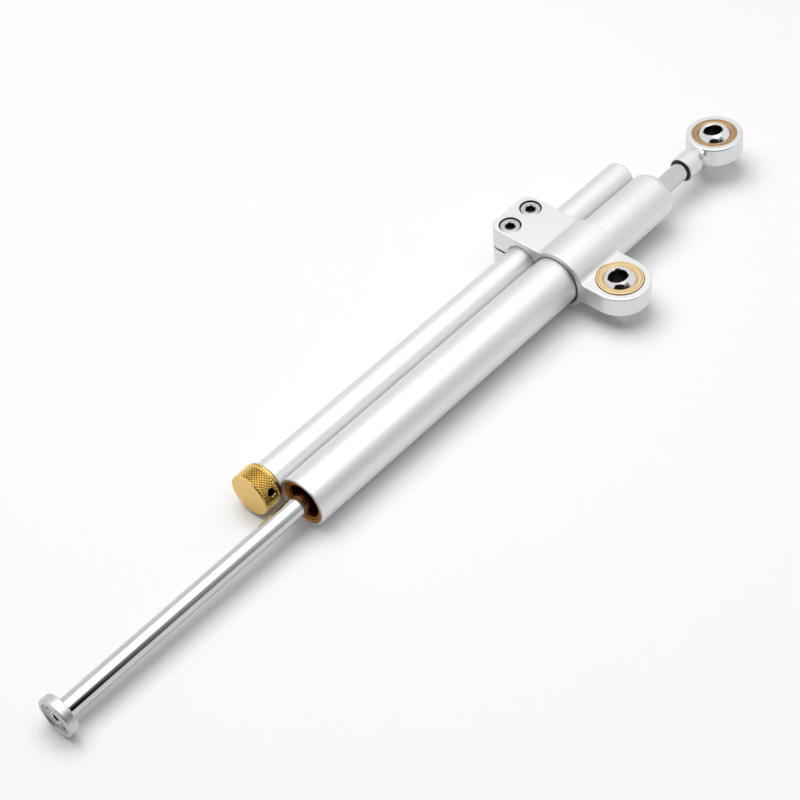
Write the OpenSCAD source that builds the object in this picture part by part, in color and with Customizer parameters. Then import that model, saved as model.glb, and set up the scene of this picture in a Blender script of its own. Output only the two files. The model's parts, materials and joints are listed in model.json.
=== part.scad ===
// Linear steering damper with a through rod, a side tube with an adjuster knob,
// a sliding clamp bracket and two spherical bearings.
// X runs along the rod from the end stop to the rod end, Y from the main tube to
// the side tube, Z up. The origin is the centre of the clamp's bearing.

/* [Main tube] */
// Outside diameter of the main tube
tube_d = 21; // [20:0.5:24]
// Length of the main tube, mouth to nose
tube_l = 215; // [200:1:250]
// Wall of the main tube along its oil bore
tube_wall = 1.5; // [1.3:0.1:1.8]
// Wall left at the mouth, round the gland
mouth_wall = 1; // [0.8:0.1:1.1]
// Radius of the rounded nose
nose_r = 5.5; // [4:0.5:6]
// Solid length behind the oil bore
nose_l = 11; // [9:0.5:14]

/* [Side tube] */
// Outside diameter of the side tube
side_d = 14; // [13.5:0.5:16]
// How much shorter the side tube with its plug is than the main tube
side_step = 1; // [0:0.5:8]
// Wall of the side tube
side_wall = 1.25; // [1:0.05:1.4]
// Length of the plug's cap
plug_cap_l = 4; // [3:0.5:6]
// Length of the plug inside the tube
plug_spigot_l = 9; // [7:0.5:12]
// Radius of the plug's rounded edge
plug_edge_r = 2; // [1:0.5:2.5]
// Width across flats of the plug's socket
plug_key = 5; // [4:0.5:6]

/* [Rod] */
// Diameter of the rod
rod_d = 8; // [7.5:0.1:8.5]
// Rod that shows in front of the mouth
rod_front = 116.4; // [80:0.1:120]
// Rod that shows behind the nose
rod_back = 16.3; // [10:0.1:30]
// Distance of the piston from the mouth
piston_at = 54; // [48:1:60]
// Length of the piston
piston_l = 10; // [8:0.5:12]
// Radial gap between piston and bore
piston_gap = 0.4; // [0.3:0.05:0.6]

/* [Glands and seals] */
// Depth of the gland's face inside the mouth
gland_inset = 0.6; // [0.3:0.1:1.5]
// Length of the gland
gland_l = 19.4; // [18:0.2:24]
// Radius of the open cup round the rod
cup_r = 6.8; // [6.6:0.1:7.2]
// Depth of the cup from the gland's face
cup_l = 7.9; // [5:0.1:9]
// Radial height of the rod seals
seal_h = 2.2; // [2:0.1:2.4]
// Length of the rod seals
seal_l = 3.5; // [3:0.1:4]
// Length of the wipers
wiper_l = 2.2; // [1.8:0.1:2.6]
// Wall of the guide bushes
bush_wall = 0.95; // [0.8:0.05:1.2]
// Length of the rear guide
guide_l = 14; // [13:0.5:18]
// Thickness of the cord of the static seals
cord_d = 1.3; // [1.1:0.05:1.4]

/* [End stop] */
// Diameter of the end stop
stop_d = 16.2; // [13:0.1:17]
// Thickness of the end stop
stop_t = 4.1; // [3.8:0.1:6]
// Width of the rim round the recess
stop_rim = 1.6; // [1:0.1:2]
// Depth of the recess
stop_recess = 0.6; // [0.4:0.1:0.8]
// Diameter of the thread of the end stop's screw
stop_screw_d = 4.9; // [4:0.1:5]
// Distance of the two spanner holes from the centre
spanner_r = 4.5; // [4.2:0.1:5]

/* [Rod end] */
// Diameter of the eye
eye_d = 24; // [23:0.5:28]
// Thickness of the eye
eye_t = 9; // [8.5:0.1:10]
// Distance of the eye from the shank's face
eye_reach = 23.9; // [22:0.1:30]
// Diameter of the shank
shank_d = 11; // [10.5:0.1:12.5]
// Length of rod inside the shank
shank_grip = 10; // [7:0.5:11]
// Turn of the rod end about the rod, in degrees
eye_roll = -3; // [-20:1:20]

/* [Spherical bearings] */
// Bore of the balls
bolt_d = 8; // [7.5:0.1:8.5]
// Diameter of the balls
ball_d = 15.88; // [15.5:0.01:16.2]
// Width of the balls
ball_w = 12; // [11:0.5:12.5]
// Outside diameter of the races
race_d = 19; // [18.5:0.1:19.5]
// Width of the race in the rod end
eye_race_w = 9; // [8.5:0.1:10]
// Width of the race in the clamp
boss_race_w = 10; // [9:0.1:10.5]
// Lean of the clamp's ball, in degrees
clamp_lean = 9.5; // [0:0.5:12]
// Lean of the rod end's ball in its eye, in degrees
eye_lean = 7.5; // [0:0.5:12]
// Heading of the clamp ball's lean, in degrees from X
clamp_lean_to = 110; // [0:5:360]
// Heading of the rod end ball's lean, in degrees from X
eye_lean_to = 90; // [0:5:360]

/* [Clamp] */
// Distance of the clamp from the mouth
clamp_at = 160; // [40:1:170]
// Width of the clamp along the tubes
clamp_w = 25; // [24:0.5:30]
// Wall of the arch over the main tube
arch_wall = 2.5; // [2:0.1:4]
// Height of the flat plate over the side tube's centre
plate_z = 10; // [9.5:0.1:12]
// Thickness of the boss
boss_t = 9; // [8.5:0.1:10]
// Distance of the bearing from the main tube's axis
boss_reach = 22.5; // [22:0.1:28]
// Radius of the corners of the lug
lug_corner = 5; // [3:0.5:6]
// Width of the clamping slit
slit_w = 1.2; // [0.8:0.1:2]
// Distance between the two clamp screws
screw_gap = 13; // [12:0.5:15]
// Thread diameter of the clamp screws
screw_d = 5; // [4:0.1:5.2]
// Head diameter of the clamp screws
screw_head_d = 8.5; // [7:0.1:8.8]
// Wall between the side tube and the screws
screw_wall = 0.8; // [0.6:0.1:2]
// Wall round the counterbores of the screws
counterbore_wall = 2.3; // [1.5:0.1:4]
// Bevel along the clamp's edges
edge_bevel = 0.6; // [0.3:0.1:0.8]
// Radius of the hollow corners beside the arch
fillet_r = 3; // [1:0.5:4]

/* [Adjuster] */
// Diameter of the knob
knob_d = 17.6; // [15:0.1:18.4]
// Length of the knob
knob_l = 9.05; // [8:0.05:12]
// Gap behind the knob
knob_gap = 0.8; // [0.6:0.1:1.2]
// Length of the plain ring behind the knurl
knob_ring_l = 1.2; // [0.8:0.1:2]
// Diameter of the spindle
spindle_d = 4; // [3.6:0.1:4.2]
// Thread diameter of the needle
needle_d = 3; // [2.6:0.1:3.1]
// Diameter of the orifice
orifice_d = 2.4; // [2.2:0.1:2.6]
// Thread diameter of the grub screw
grub_d = 3; // [2.5:0.1:3]
// Direction of the grub screw, in degrees from Y towards Z
grub_turn = 156; // [0:1:360]
// Diameter of the detent ball
detent_d = 1.6; // [1.4:0.1:1.7]
// Outside diameter of the port sleeves
port_d = 3; // [2.6:0.1:3.2]

/* [Clearances] */
// Radial gap between pieces that move on each other
running = 0.05; // [0.02:0.01:0.08]
// Radial gap between pieces that are fixed together
fixed = 0.02; // [0.01:0.01:0.04]
// Gap between the two tubes
tube_gap = 0.1; // [0.05:0.05:0.5]

/* [Hidden] */
$fn = 96;
eps = 0.01;
cut = 1;

tube_r = tube_d / 2;
bore_r = tube_r - tube_wall;
seat_r = tube_r - mouth_wall;
side_r = side_d / 2;
side_bore_r = side_r - side_wall;
rod_r = rod_d / 2;
rod_hole_r = rod_r + running;
side_y = boss_reach + tube_r + side_r + tube_gap;

// Stations along the rod are measured from the mouth of the main tube
gland_end = gland_inset + gland_l;
side_l = tube_l - side_step;
bore_end = tube_l - nose_l;
guide_at = bore_end - guide_l;
clip_t = 1.2;
clip_at = guide_at - clip_t - 2 * fixed;
clip_depth = 0.6;
cord_r = cord_d / 2;
mouth_bevel = 0.3;

// Front gland, from its face inwards
cup_floor = gland_inset + cup_l;
seal_r = rod_r + seal_h;
wiper_at = cup_floor + 0.1;
seal_at = wiper_at + wiper_l + 0.2;
pocket_end = seal_at + seal_l + 0.1;
bush_r = rod_r + running + bush_wall;
gland_r = seat_r - fixed;
gland_rim = 1;
gland_line_w = 0.3;
gland_line_t = 0.6;
gland_step = 0.3;
cup_flare = 0.6;
gland_cord_at = pocket_end + 2;

// Rear guide
guide_r = bore_r - fixed;
guide_bush_end = bore_end - seal_l - wiper_l - 0.6;
rear_seal_at = guide_bush_end + 0.1;
rear_wiper_at = rear_seal_at + seal_l + 0.2;
guide_cord_at = guide_at + 3;

// Piston and rod
piston_r = bore_r - piston_gap;
piston_start = piston_at - piston_l / 2;
piston_end = piston_at + piston_l / 2;
band_w = 4.9;
band_t = 0.8;
band_r = bore_r - running;
band_groove_r = band_r - band_t - cord_d;
bleed_r = 0.7;
bleed_count = 4;
shim_t = 0.3;
shim_gap = 0.05;
rod_clip_t = 0.9;
rod_clip_depth = 0.4;
shim_start = piston_start - shim_gap - shim_t;
shim_end = piston_end + shim_gap + shim_t;
shank_at = tube_l + rod_back;
eye_at = shank_at + eye_reach;
stop_at = -rod_front - stop_t;
stop_socket = 1;
rod_start = -rod_front - stop_socket + fixed;
rod_end_at = shank_at + shank_grip;

// End stop
stop_r = stop_d / 2;
stop_bevel = 0.4;
stop_screw_r = stop_screw_d / 2;
stop_head_r = stop_screw_r + 0.5;
stop_head_t = 1.2;
stop_head_at = stop_at + stop_recess;
stop_screw_l = 12;
stop_key_r = 1.75;
spanner_hole_r = 0.7;
spanner_hole_l = 0.7;
spanner_turn = 36;

// Rod end
eye_r = eye_d / 2;
eye_edge_r = 0.9;
shank_r = shank_d / 2;
bump_l = 1.5;
bump_r = shank_r - 0.5;
neck_l = 5;

// Bearings
bolt_r = bolt_d / 2;
ball_r = ball_d / 2;
race_r = race_d / 2;
race_bevel = 0.35;
stake_r = race_r - 0.9;
stake_w = 0.35;
stake_t = 0.3;
bore_bevel = 0.4;

// Clamp
arch_r = tube_r + arch_wall;
boss_r = clamp_w / 2;
clamp_bore_r = tube_r + running;
clamp_side_bore_r = side_r + running;
bore_mouth_bevel = 0.6;
screw_r = screw_d / 2;
screw_hole_r = screw_r + 0.25;
screw_head_r = screw_head_d / 2;
counterbore_r = screw_head_r + 0.35;
screw_y = side_y + side_r + screw_wall + screw_hole_r;
lug_y = screw_y + counterbore_r + counterbore_wall;
screw_seat_z = plate_z - screw_d - 0.4;
screw_tip_z = -arch_r + 1.6;
screw_key_r = 2.3;
screw_key_l = 2.6;
web_gap_h = 5;
web_gap_w = 3;
fillet_sink = 0.03;
arch_inner_share = 0.65;

// Adjuster, stations along the side tube from its front end
port_r = port_d / 2;
port_wall = 0.5;
port_at = [gland_end + 4, clip_at - 4.5];
body_end = port_at[0] - 3;
body_r = side_bore_r - fixed;
flange_r = side_r - 0.7;
flange_t = 0.3;
knob_back = -knob_gap;
knob_front = knob_back - knob_l;
knob_r = knob_d / 2;
knob_bevel = 0.35;
knob_ring_inset = 0.3;
spindle_r = spindle_d / 2;
spindle_start = knob_front + 2.4;
spindle_cord_at = 5;
spindle_cord_d = 1.2;
collar_at = 9.7;
collar_t = 1.3;
collar_r = spindle_r + 0.9;
chamber_at = collar_at - running;
chamber_r = collar_r + running + 0.1;
clip2_at = collar_at + collar_t + running;
clip2_t = 0.7;
clip2_depth = 0.45;
key_at = clip2_at + clip2_t + 0.1;
needle_r = needle_d / 2;
tail_r = needle_r + 0.6;
tail_end = key_at + 1.6;
key_r = chamber_r + 0.2;
needle_key_at = tail_end + 1.1;
needle_key_l = 4;
needle_start = spindle_cord_at + 1.5;
taper_at = port_at[0] + 0.5;
taper_l = 5;
taper_tip_r = 0.5;
valve_at = port_at[0] + 3;
valve_l = 4;
orifice_r = orifice_d / 2;
detent_r = detent_d / 2;
detent_off = spindle_r + 2.4;
detent_at = knob_back + 0.45;
detent_hole_l = 7;
spring_wire = 0.3;
spring_turns = 6;
grub_r = grub_d / 2;
grub_at = knob_front + 4.7;
grub_l = 4;
grub_key_r = 0.87;

// Places children so that their Z runs along the rod from the mouth, with Y kept
module on_rod() {
    translate([-clamp_at, boss_reach, 0]) rotate([0, 90, 0]) children();
}

// The same along the side tube
module on_side() {
    translate([-clamp_at, side_y, 0]) rotate([0, 90, 0]) children();
}

// Places children at the rod end's eye, turned with it about the rod
module at_eye() {
    translate([eye_at - clamp_at, boss_reach, 0]) rotate([eye_roll, 0, 0]) children();
}

// Leans children towards a heading in the XY plane
module lean(angle, heading) {
    rotate([0, 0, heading]) rotate([0, angle, 0]) rotate([0, 0, -heading]) children();
}

// Ring between two stations
module ring(start, end, outer, inner) {
    translate([0, 0, start]) difference() {
        cylinder(h = end - start, r = outer);
        translate([0, 0, -cut]) cylinder(h = end - start + 2 * cut, r = inner);
    }
}

// Solid of revolution from [radius, station] points
module turned(points) {
    rotate_extrude() polygon(points);
}

// Round cord lying in a groove whose floor has the given radius
module cord_ring(station, floor_r, cord) {
    translate([0, 0, station]) rotate_extrude() translate([floor_r + cord / 2, 0]) circle(d = cord - 2 * fixed);
}

// Hexagonal key hole or key, by the radius of its corners
module hexagon(start, length, corner_r) {
    translate([0, 0, start]) cylinder(h = length, r = corner_r, $fn = 6);
}

// Open circlip with its gap on the negative X side
module circlip(start, thickness, outer, inner) {
    gap = outer * 0.6;
    difference() {
        ring(start, start + thickness, outer, inner);
        translate([-outer - cut, -gap / 2, start - cut]) cube([outer + cut, gap, thickness + 2 * cut]);
    }
}

// Disc about Z with bevelled rims
module bevelled_disc(radius, bottom, top, bevel) {
    turned([
        [0, bottom], [radius - bevel, bottom], [radius, bottom + bevel],
        [radius, top - bevel], [radius - bevel, top], [0, top]
    ]);
}

// Octagon of a bevelled bar
function bar_outline(low_u, high_u, low_v, high_v, bevel) = [
    [low_u + bevel, low_v], [high_u - bevel, low_v], [high_u, low_v + bevel], [high_u, high_v - bevel],
    [high_u - bevel, high_v], [low_u + bevel, high_v], [low_u, high_v - bevel], [low_u, low_v + bevel]
];

// Hole with a bevelled mouth at both ends, along Z from one station to another
module bevelled_hole(radius, start, end, bevel) {
    turned([
        [0, start - cut], [radius + bevel + cut, start - cut], [radius, start + bevel],
        [radius, end - bevel], [radius + bevel + cut, end + cut], [0, end + cut]
    ]);
}

// Holes for the port sleeves, from the main tube's bore to the side tube's
module port_holes() {
    for (station = port_at)
        translate([0, 0, station]) rotate([-90, 0, 0]) cylinder(h = tube_r + side_r, r = port_r + fixed);
}

module main_tube() {
    color("silver") on_rod() difference() {
        rotate_extrude() difference() {
            union() {
                polygon([
                    [0, 0], [tube_r - mouth_bevel, 0], [tube_r, mouth_bevel],
                    [tube_r, tube_l - nose_r], [0, tube_l - nose_r]
                ]);
                square([tube_r - nose_r, tube_l]);
                intersection() {
                    translate([tube_r - nose_r, tube_l - nose_r]) circle(r = nose_r);
                    square([tube_r, tube_l]);
                }
            }
            translate([-cut, -cut]) square([seat_r + cut, gland_end + cut]);
            translate([-cut, 0]) square([bore_r + cut, bore_end]);
            translate([-cut, 0]) square([rod_r + 6 * running + cut, tube_l + cut]);
            translate([0, clip_at - fixed]) square([bore_r + clip_depth, clip_t + 2 * fixed]);
        }
        port_holes();
    }
}

module side_tube() {
    color("silver") on_side() difference() {
        ring(0, side_l - plug_cap_l, side_r, side_bore_r);
        translate([0, -tube_r - side_r, 0]) port_holes();
    }
}

module side_plug() {
    cap_at = side_l - plug_cap_l;
    spigot_at = cap_at - plug_spigot_l;
    color("gainsboro") on_side() difference() {
        union() {
            rotate_extrude() union() {
                translate([0, cap_at + fixed]) square([side_r, plug_cap_l - plug_edge_r - fixed]);
                translate([0, cap_at + fixed]) square([side_r - plug_edge_r, plug_cap_l - fixed]);
                intersection() {
                    translate([side_r - plug_edge_r, side_l - plug_edge_r]) circle(r = plug_edge_r);
                    translate([0, cap_at + fixed]) square([side_r, plug_cap_l]);
                }
            }
            translate([0, 0, spigot_at]) cylinder(h = plug_spigot_l + cut, r = body_r);
        }
        ring(spigot_at + 3, spigot_at + 3 + cord_d + 4 * fixed, side_r, side_bore_r - cord_d);
        hexagon(side_l - 2.5, 2.5 + cut, plug_key / sqrt(3));
    }
}

module side_plug_seal() {
    color("dimgray") on_side()
        cord_ring(side_l - plug_cap_l - plug_spigot_l + 3 + cord_r + 2 * fixed, side_bore_r - cord_d, cord_d);
}

module port_sleeves() {
    start = bore_r + 0.35;
    end = tube_r + tube_gap + side_wall - 0.35;
    color("goldenrod") on_rod() for (station = port_at)
        translate([0, 0, station]) rotate([-90, 0, 0]) ring(start, end, port_r, port_r - port_wall);
}

module front_gland() {
    rim_r = gland_r - gland_rim;
    line_r = rim_r - gland_line_w;
    face = gland_inset;
    color("darkgoldenrod") on_rod() difference() {
        turned([
            [gland_r, gland_end - fixed], [gland_r, face + mouth_bevel], [gland_r - mouth_bevel, face],
            [rim_r, face], [rim_r, face + gland_line_t], [line_r, face + gland_line_t],
            [line_r, face + gland_step], [cup_r + cup_flare, face + gland_step],
            [cup_r, face + gland_step + 2 * cup_flare], [cup_r, cup_floor], [seal_r, cup_floor],
            [seal_r, pocket_end], [bush_r, pocket_end], [bush_r, gland_end - fixed]
        ]);
        ring(gland_cord_at - cord_r - fixed, gland_cord_at + cord_r + fixed, tube_r, seat_r - cord_d);
    }
}

module gland_seal() {
    color("dimgray") on_rod() cord_ring(gland_cord_at, seat_r - cord_d, cord_d);
}

module front_bush() {
    color("peru") on_rod() ring(pocket_end + fixed, gland_end - fixed, bush_r - fixed, rod_hole_r);
}

// Lip seal whose open side faces the oil
module rod_seal(start, end, lip) {
    outer = seal_r - fixed;
    middle = (rod_hole_r + outer) / 2;
    back = lip > 0 ? start : end;
    front = lip > 0 ? end : start;
    turned([
        [rod_hole_r + 0.3, back], [outer, back], [outer, front - lip * 0.3],
        [outer - 0.3, front], [middle, front - lip * seal_l / 2],
        [rod_hole_r + 0.3, front], [rod_hole_r, front - lip * 0.6]
    ]);
}

// Wiper whose lip reaches outwards along the rod
module wiper(start, end, lip) {
    outer = seal_r - fixed;
    back = lip > 0 ? start : end;
    front = lip > 0 ? end : start;
    turned([
        [rod_hole_r + 0.5, back], [outer, back], [outer, front],
        [rod_hole_r + 1.1, front - lip * 0.4], [rod_hole_r + 0.4, front], [rod_hole_r, front - lip * 0.4]
    ]);
}

module front_rod_seal() {
    color("darkred") on_rod() rod_seal(seal_at, seal_at + seal_l, 1);
}

module front_wiper() {
    color("maroon") on_rod() wiper(wiper_at, wiper_at + wiper_l, -1);
}

module rear_guide() {
    color("darkgoldenrod") on_rod() difference() {
        turned([
            [bush_r, guide_at], [guide_r, guide_at], [guide_r, bore_end - fixed],
            [seal_r, bore_end - fixed], [seal_r, guide_bush_end], [bush_r, guide_bush_end]
        ]);
        ring(guide_cord_at - cord_r - fixed, guide_cord_at + cord_r + fixed, tube_r, bore_r - cord_d);
    }
}

module rear_guide_seal() {
    color("dimgray") on_rod() cord_ring(guide_cord_at, bore_r - cord_d, cord_d);
}

module rear_bush() {
    color("peru") on_rod() ring(guide_at, guide_bush_end - fixed, bush_r - fixed, rod_hole_r);
}

module rear_rod_seal() {
    color("darkred") on_rod() rod_seal(rear_seal_at, rear_seal_at + seal_l, -1);
}

module rear_wiper() {
    color("maroon") on_rod() wiper(rear_wiper_at, rear_wiper_at + wiper_l, 1);
}

module rear_circlip() {
    color("slategray") on_rod()
        circlip(clip_at, clip_t, bore_r + clip_depth - fixed, bore_r - 1.4);
}

module piston() {
    groove_half = band_w / 2 + running;
    bleed_at = (rod_r + band_groove_r) / 2;
    color("lightsteelblue") on_rod() difference() {
        ring(piston_start, piston_end, piston_r, rod_r + fixed);
        ring(piston_at - groove_half, piston_at + groove_half, bore_r, band_groove_r);
        for (i = [0 : bleed_count - 1])
            rotate([0, 0, i * 360 / bleed_count]) translate([bleed_at, 0, piston_start - cut])
                cylinder(h = piston_l + 2 * cut, r = bleed_r);
    }
}

module piston_band() {
    color("ivory") on_rod()
        ring(piston_at - band_w / 2, piston_at + band_w / 2, band_r, band_r - band_t);
}

module band_spring_ring() {
    color("dimgray") on_rod() cord_ring(piston_at, band_groove_r, cord_d - 2 * running);
}

module piston_shims() {
    shim_r = (rod_r + band_groove_r) / 2 + bleed_r + 0.3;
    color("lightgray") on_rod() {
        ring(shim_start, shim_start + shim_t, shim_r, rod_r + fixed);
        ring(shim_end - shim_t, shim_end, shim_r, rod_r + fixed);
    }
}

module piston_circlips() {
    inner = rod_r - rod_clip_depth + fixed;
    color("slategray") on_rod() {
        circlip(shim_start - fixed - rod_clip_t, rod_clip_t, rod_r + 1.3, inner);
        circlip(shim_end + fixed, rod_clip_t, rod_r + 1.3, inner);
    }
}

module rod() {
    groove_r = rod_r - rod_clip_depth;
    color("lightgray") on_rod() difference() {
        translate([0, 0, rod_start]) cylinder(h = rod_end_at - rod_start, r = rod_r);
        ring(shim_start - rod_clip_t - 2 * fixed, shim_start, rod_r + cut, groove_r);
        ring(shim_end, shim_end + rod_clip_t + 2 * fixed, rod_r + cut, groove_r);
        translate([0, 0, rod_start - cut]) cylinder(h = stop_screw_l + cut, r = stop_screw_r + fixed);
    }
}

module end_stop() {
    face = stop_at;
    floor_at = stop_at + stop_recess;
    recess_r = stop_r - stop_rim;
    head_hole = stop_head_at + stop_head_t + fixed;
    color("silver") on_rod() difference() {
        turned([
            [0, floor_at], [recess_r - stop_recess / 2, floor_at], [recess_r, face],
            [stop_r - stop_bevel, face], [stop_r, face + stop_bevel],
            [stop_r, -rod_front - stop_bevel], [stop_r - stop_bevel, -rod_front], [0, -rod_front]
        ]);
        translate([0, 0, -rod_front - stop_socket]) cylinder(h = stop_socket + cut, r = rod_r + fixed);
        translate([0, 0, face - cut]) cylinder(h = head_hole - face + cut, r = stop_head_r + fixed);
        translate([0, 0, face]) cylinder(h = stop_t, r = stop_screw_r + fixed);
        for (side = [-1, 1])
            rotate([0, 0, spanner_turn]) translate([0, side * spanner_r, floor_at - cut])
                cylinder(h = spanner_hole_l + cut, r = spanner_hole_r);
    }
}

module end_stop_screw() {
    color("gray") on_rod() difference() {
        union() {
            translate([0, 0, stop_head_at]) cylinder(h = stop_head_t, r = stop_head_r);
            translate([0, 0, stop_head_at]) cylinder(h = rod_start + stop_screw_l - 1 - stop_head_at, r = stop_screw_r);
        }
        hexagon(stop_head_at - cut, 2 + cut, stop_key_r);
    }
}

module bump_ring() {
    color("black") on_rod() ring(shank_at + 0.15, shank_at + bump_l, bump_r, rod_r + fixed);
}

module rod_end() {
    color("silver") at_eye() difference() {
        union() {
            rotate_extrude() union() {
                translate([0, -eye_t / 2]) square([eye_r - eye_edge_r, eye_t]);
                translate([0, -eye_t / 2 + eye_edge_r]) square([eye_r, eye_t - 2 * eye_edge_r]);
                for (side = [-1, 1])
                    translate([eye_r - eye_edge_r, side * (eye_t / 2 - eye_edge_r)]) circle(r = eye_edge_r);
            }
            translate([-eye_reach, 0, 0]) rotate([0, 90, 0])
                cylinder(h = eye_reach - eye_r - neck_l, r = shank_r);
            translate([-eye_r - neck_l, 0, 0]) rotate([0, 90, 0])
                cylinder(h = neck_l + 0.5, r1 = shank_r, r2 = eye_t / 2 - 0.1);
        }
        translate([0, 0, -eye_t]) cylinder(h = 2 * eye_t, r = race_r + running);
        translate([-eye_reach - cut, 0, 0]) rotate([0, 90, 0])
            cylinder(h = shank_grip + fixed + cut, r = rod_r + fixed);
        translate([-eye_reach - cut, 0, 0]) rotate([0, 90, 0])
            cylinder(h = bump_l + fixed + cut, r = bump_r + fixed);
    }
}

// Bronze ring whose inside follows the ball
module race(width) {
    half = width / 2;
    rotate_extrude() difference() {
        polygon([
            [0, -half], [race_r - race_bevel, -half], [race_r, -half + race_bevel],
            [race_r, half - race_bevel], [race_r - race_bevel, half], [0, half]
        ]);
        circle(r = ball_r + running);
        for (side = [-1, 1])
            translate([stake_r - stake_w / 2, side * half - stake_t]) square([stake_w, 2 * stake_t]);
    }
}

// Ball with flat sides and a bevelled bore
module ball() {
    half = ball_w / 2;
    rotate_extrude() difference() {
        intersection() {
            circle(r = ball_r);
            translate([0, -half]) square([ball_r, ball_w]);
        }
        polygon([
            [-cut, -half - cut], [bolt_r + bore_bevel + cut, -half - cut], [bolt_r, -half + bore_bevel],
            [bolt_r, half - bore_bevel], [bolt_r + bore_bevel + cut, half + cut], [-cut, half + cut]
        ]);
    }
}

module rod_end_race() {
    color("sandybrown") at_eye() race(eye_race_w);
}

module rod_end_ball() {
    color("lightgray") at_eye() lean(eye_lean, eye_lean_to) ball();
}

module clamp_race() {
    color("sandybrown") race(boss_race_w);
}

module clamp_ball() {
    color("lightgray") lean(clamp_lean, clamp_lean_to) ball();
}

// Bar across the clamp, from one Y to another, with bevelled edges
module cross_bar(start_y, end_y, bottom, top) {
    translate([0, end_y, 0]) rotate([90, 0, 0]) linear_extrude(height = end_y - start_y)
        polygon(bar_outline(-clamp_w / 2, clamp_w / 2, bottom, top, edge_bevel));
}

// Hollow corner between the arch and a flat face at the given height
module arch_fillet(face_z, towards) {
    center_z = face_z + fillet_r - fillet_sink;
    center_y = towards * sqrt(pow(arch_r + fillet_r - fillet_sink, 2) - pow(center_z, 2));
    inner_y = center_y * arch_inner_share;
    inner_z = center_z * arch_inner_share;
    translate([0, boss_reach, 0]) difference() {
        translate([-clamp_w / 2, 0, 0]) rotate([90, 0, 90]) linear_extrude(height = clamp_w)
            polygon([
                [center_y, center_z], [inner_y, inner_z],
                [inner_y, face_z - 1], [center_y, face_z - 1]
            ]);
        translate([0, center_y, center_z]) rotate([0, 90, 0])
            bevelled_hole(fillet_r, -clamp_w / 2, clamp_w / 2, edge_bevel);
    }
}

module clamp_bracket() {
    half_w = clamp_w / 2;
    bottom = -arch_r;
    color("silver") difference() {
        union() {
            translate([0, boss_reach, 0]) rotate([0, 90, 0]) bevelled_disc(arch_r, -half_w, half_w, edge_bevel);
            cross_bar(boss_reach, lug_y - lug_corner, bottom, plate_z);
            translate([lug_corner - half_w, 0, 0]) rotate([90, 0, 90])
                linear_extrude(height = clamp_w - 2 * lug_corner)
                    polygon(bar_outline(lug_y - 2 * lug_corner, lug_y, bottom, plate_z, edge_bevel));
            for (side = [-1, 1])
                translate([side * (half_w - lug_corner), lug_y - lug_corner, 0])
                    bevelled_disc(lug_corner, bottom, plate_z, edge_bevel);
            bevelled_disc(boss_r, -boss_t / 2, boss_t / 2, edge_bevel);
            cross_bar(0, boss_reach, -boss_t / 2, boss_t / 2);
            arch_fillet(plate_z, 1);
            arch_fillet(boss_t / 2, -1);
            mirror([0, 0, 1]) arch_fillet(boss_t / 2, -1);
        }
        translate([0, boss_reach, 0]) rotate([0, 90, 0])
            bevelled_hole(clamp_bore_r, -half_w, half_w, bore_mouth_bevel);
        translate([0, side_y, 0]) rotate([0, 90, 0])
            bevelled_hole(clamp_side_bore_r, -half_w, half_w, bore_mouth_bevel);
        translate([-clamp_w, boss_reach + tube_r - web_gap_w / 2, -web_gap_h / 2])
            cube([2 * clamp_w, web_gap_w, web_gap_h]);
        translate([-clamp_w, side_y, -slit_w / 2]) cube([2 * clamp_w, lug_y - side_y + cut, slit_w]);
        bevelled_hole(race_r + running, -boss_t / 2, boss_t / 2, 0.2);
        for (side = [-1, 1]) translate([side * screw_gap / 2, screw_y, 0]) {
            translate([0, 0, screw_seat_z]) cylinder(h = plate_z, r = counterbore_r);
            cylinder(h = plate_z, r = screw_hole_r);
            translate([0, 0, screw_tip_z - 0.4]) cylinder(h = -screw_tip_z + 0.4, r = screw_r + fixed);
        }
    }
}

module clamp_screws() {
    color("darkslategray") for (side = [-1, 1])
        translate([side * screw_gap / 2, screw_y, 0]) difference() {
            union() {
                bevelled_disc(screw_head_r, screw_seat_z + fixed, screw_seat_z + screw_d, 0.4);
                translate([0, 0, screw_tip_z]) cylinder(h = screw_seat_z - screw_tip_z + cut, r = screw_r);
            }
            hexagon(screw_seat_z + screw_d - screw_key_l, screw_key_l + cut, screw_key_r);
        }
}

module adjuster_body() {
    color("darkgoldenrod") on_side() difference() {
        union() {
            ring(-flange_t, -fixed, flange_r, spindle_r + running);
            ring(-fixed - eps, body_end, body_r, spindle_r + running);
        }
        ring(spindle_cord_at - spindle_cord_d / 2 - fixed, spindle_cord_at + spindle_cord_d / 2 + fixed,
            spindle_r + spindle_cord_d, spindle_r);
        translate([0, 0, chamber_at]) cylinder(h = key_at - chamber_at + eps, r = chamber_r);
        translate([0, 0, clip2_at]) cylinder(h = clip2_t + 2 * fixed, r = chamber_r + clip2_depth);
        hexagon(key_at, body_end - key_at + cut, key_r + running * 2);
        ring(collar_at + 1, collar_at + 1 + cord_d + 4 * fixed, side_r, side_bore_r - cord_d);
        translate([-detent_off, 0, -flange_t - cut]) cylinder(h = detent_hole_l + cut, r = detent_r + running);
    }
}

module adjuster_seal() {
    color("dimgray") on_side()
        cord_ring(collar_at + 1 + cord_r + 2 * fixed, side_bore_r - cord_d, cord_d);
}

module valve_seat() {
    flare = 0.6;
    color("goldenrod") on_side() turned([
        [orifice_r, valve_at + flare], [orifice_r + flare, valve_at], [body_r, valve_at],
        [body_r, valve_at + valve_l], [orifice_r + flare, valve_at + valve_l],
        [orifice_r, valve_at + valve_l - flare]
    ]);
}

module needle() {
    color("lightgray") on_side() {
        difference() {
            union() {
                translate([0, 0, needle_start]) cylinder(h = taper_at - needle_start, r = needle_r);
                hexagon(needle_key_at, needle_key_l, key_r);
            }
            translate([0, 0, needle_start - cut]) cylinder(h = 2, r = 0.6);
        }
        translate([0, 0, taper_at - eps]) cylinder(h = taper_l, r1 = needle_r, r2 = taper_tip_r);
    }
}

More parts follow.
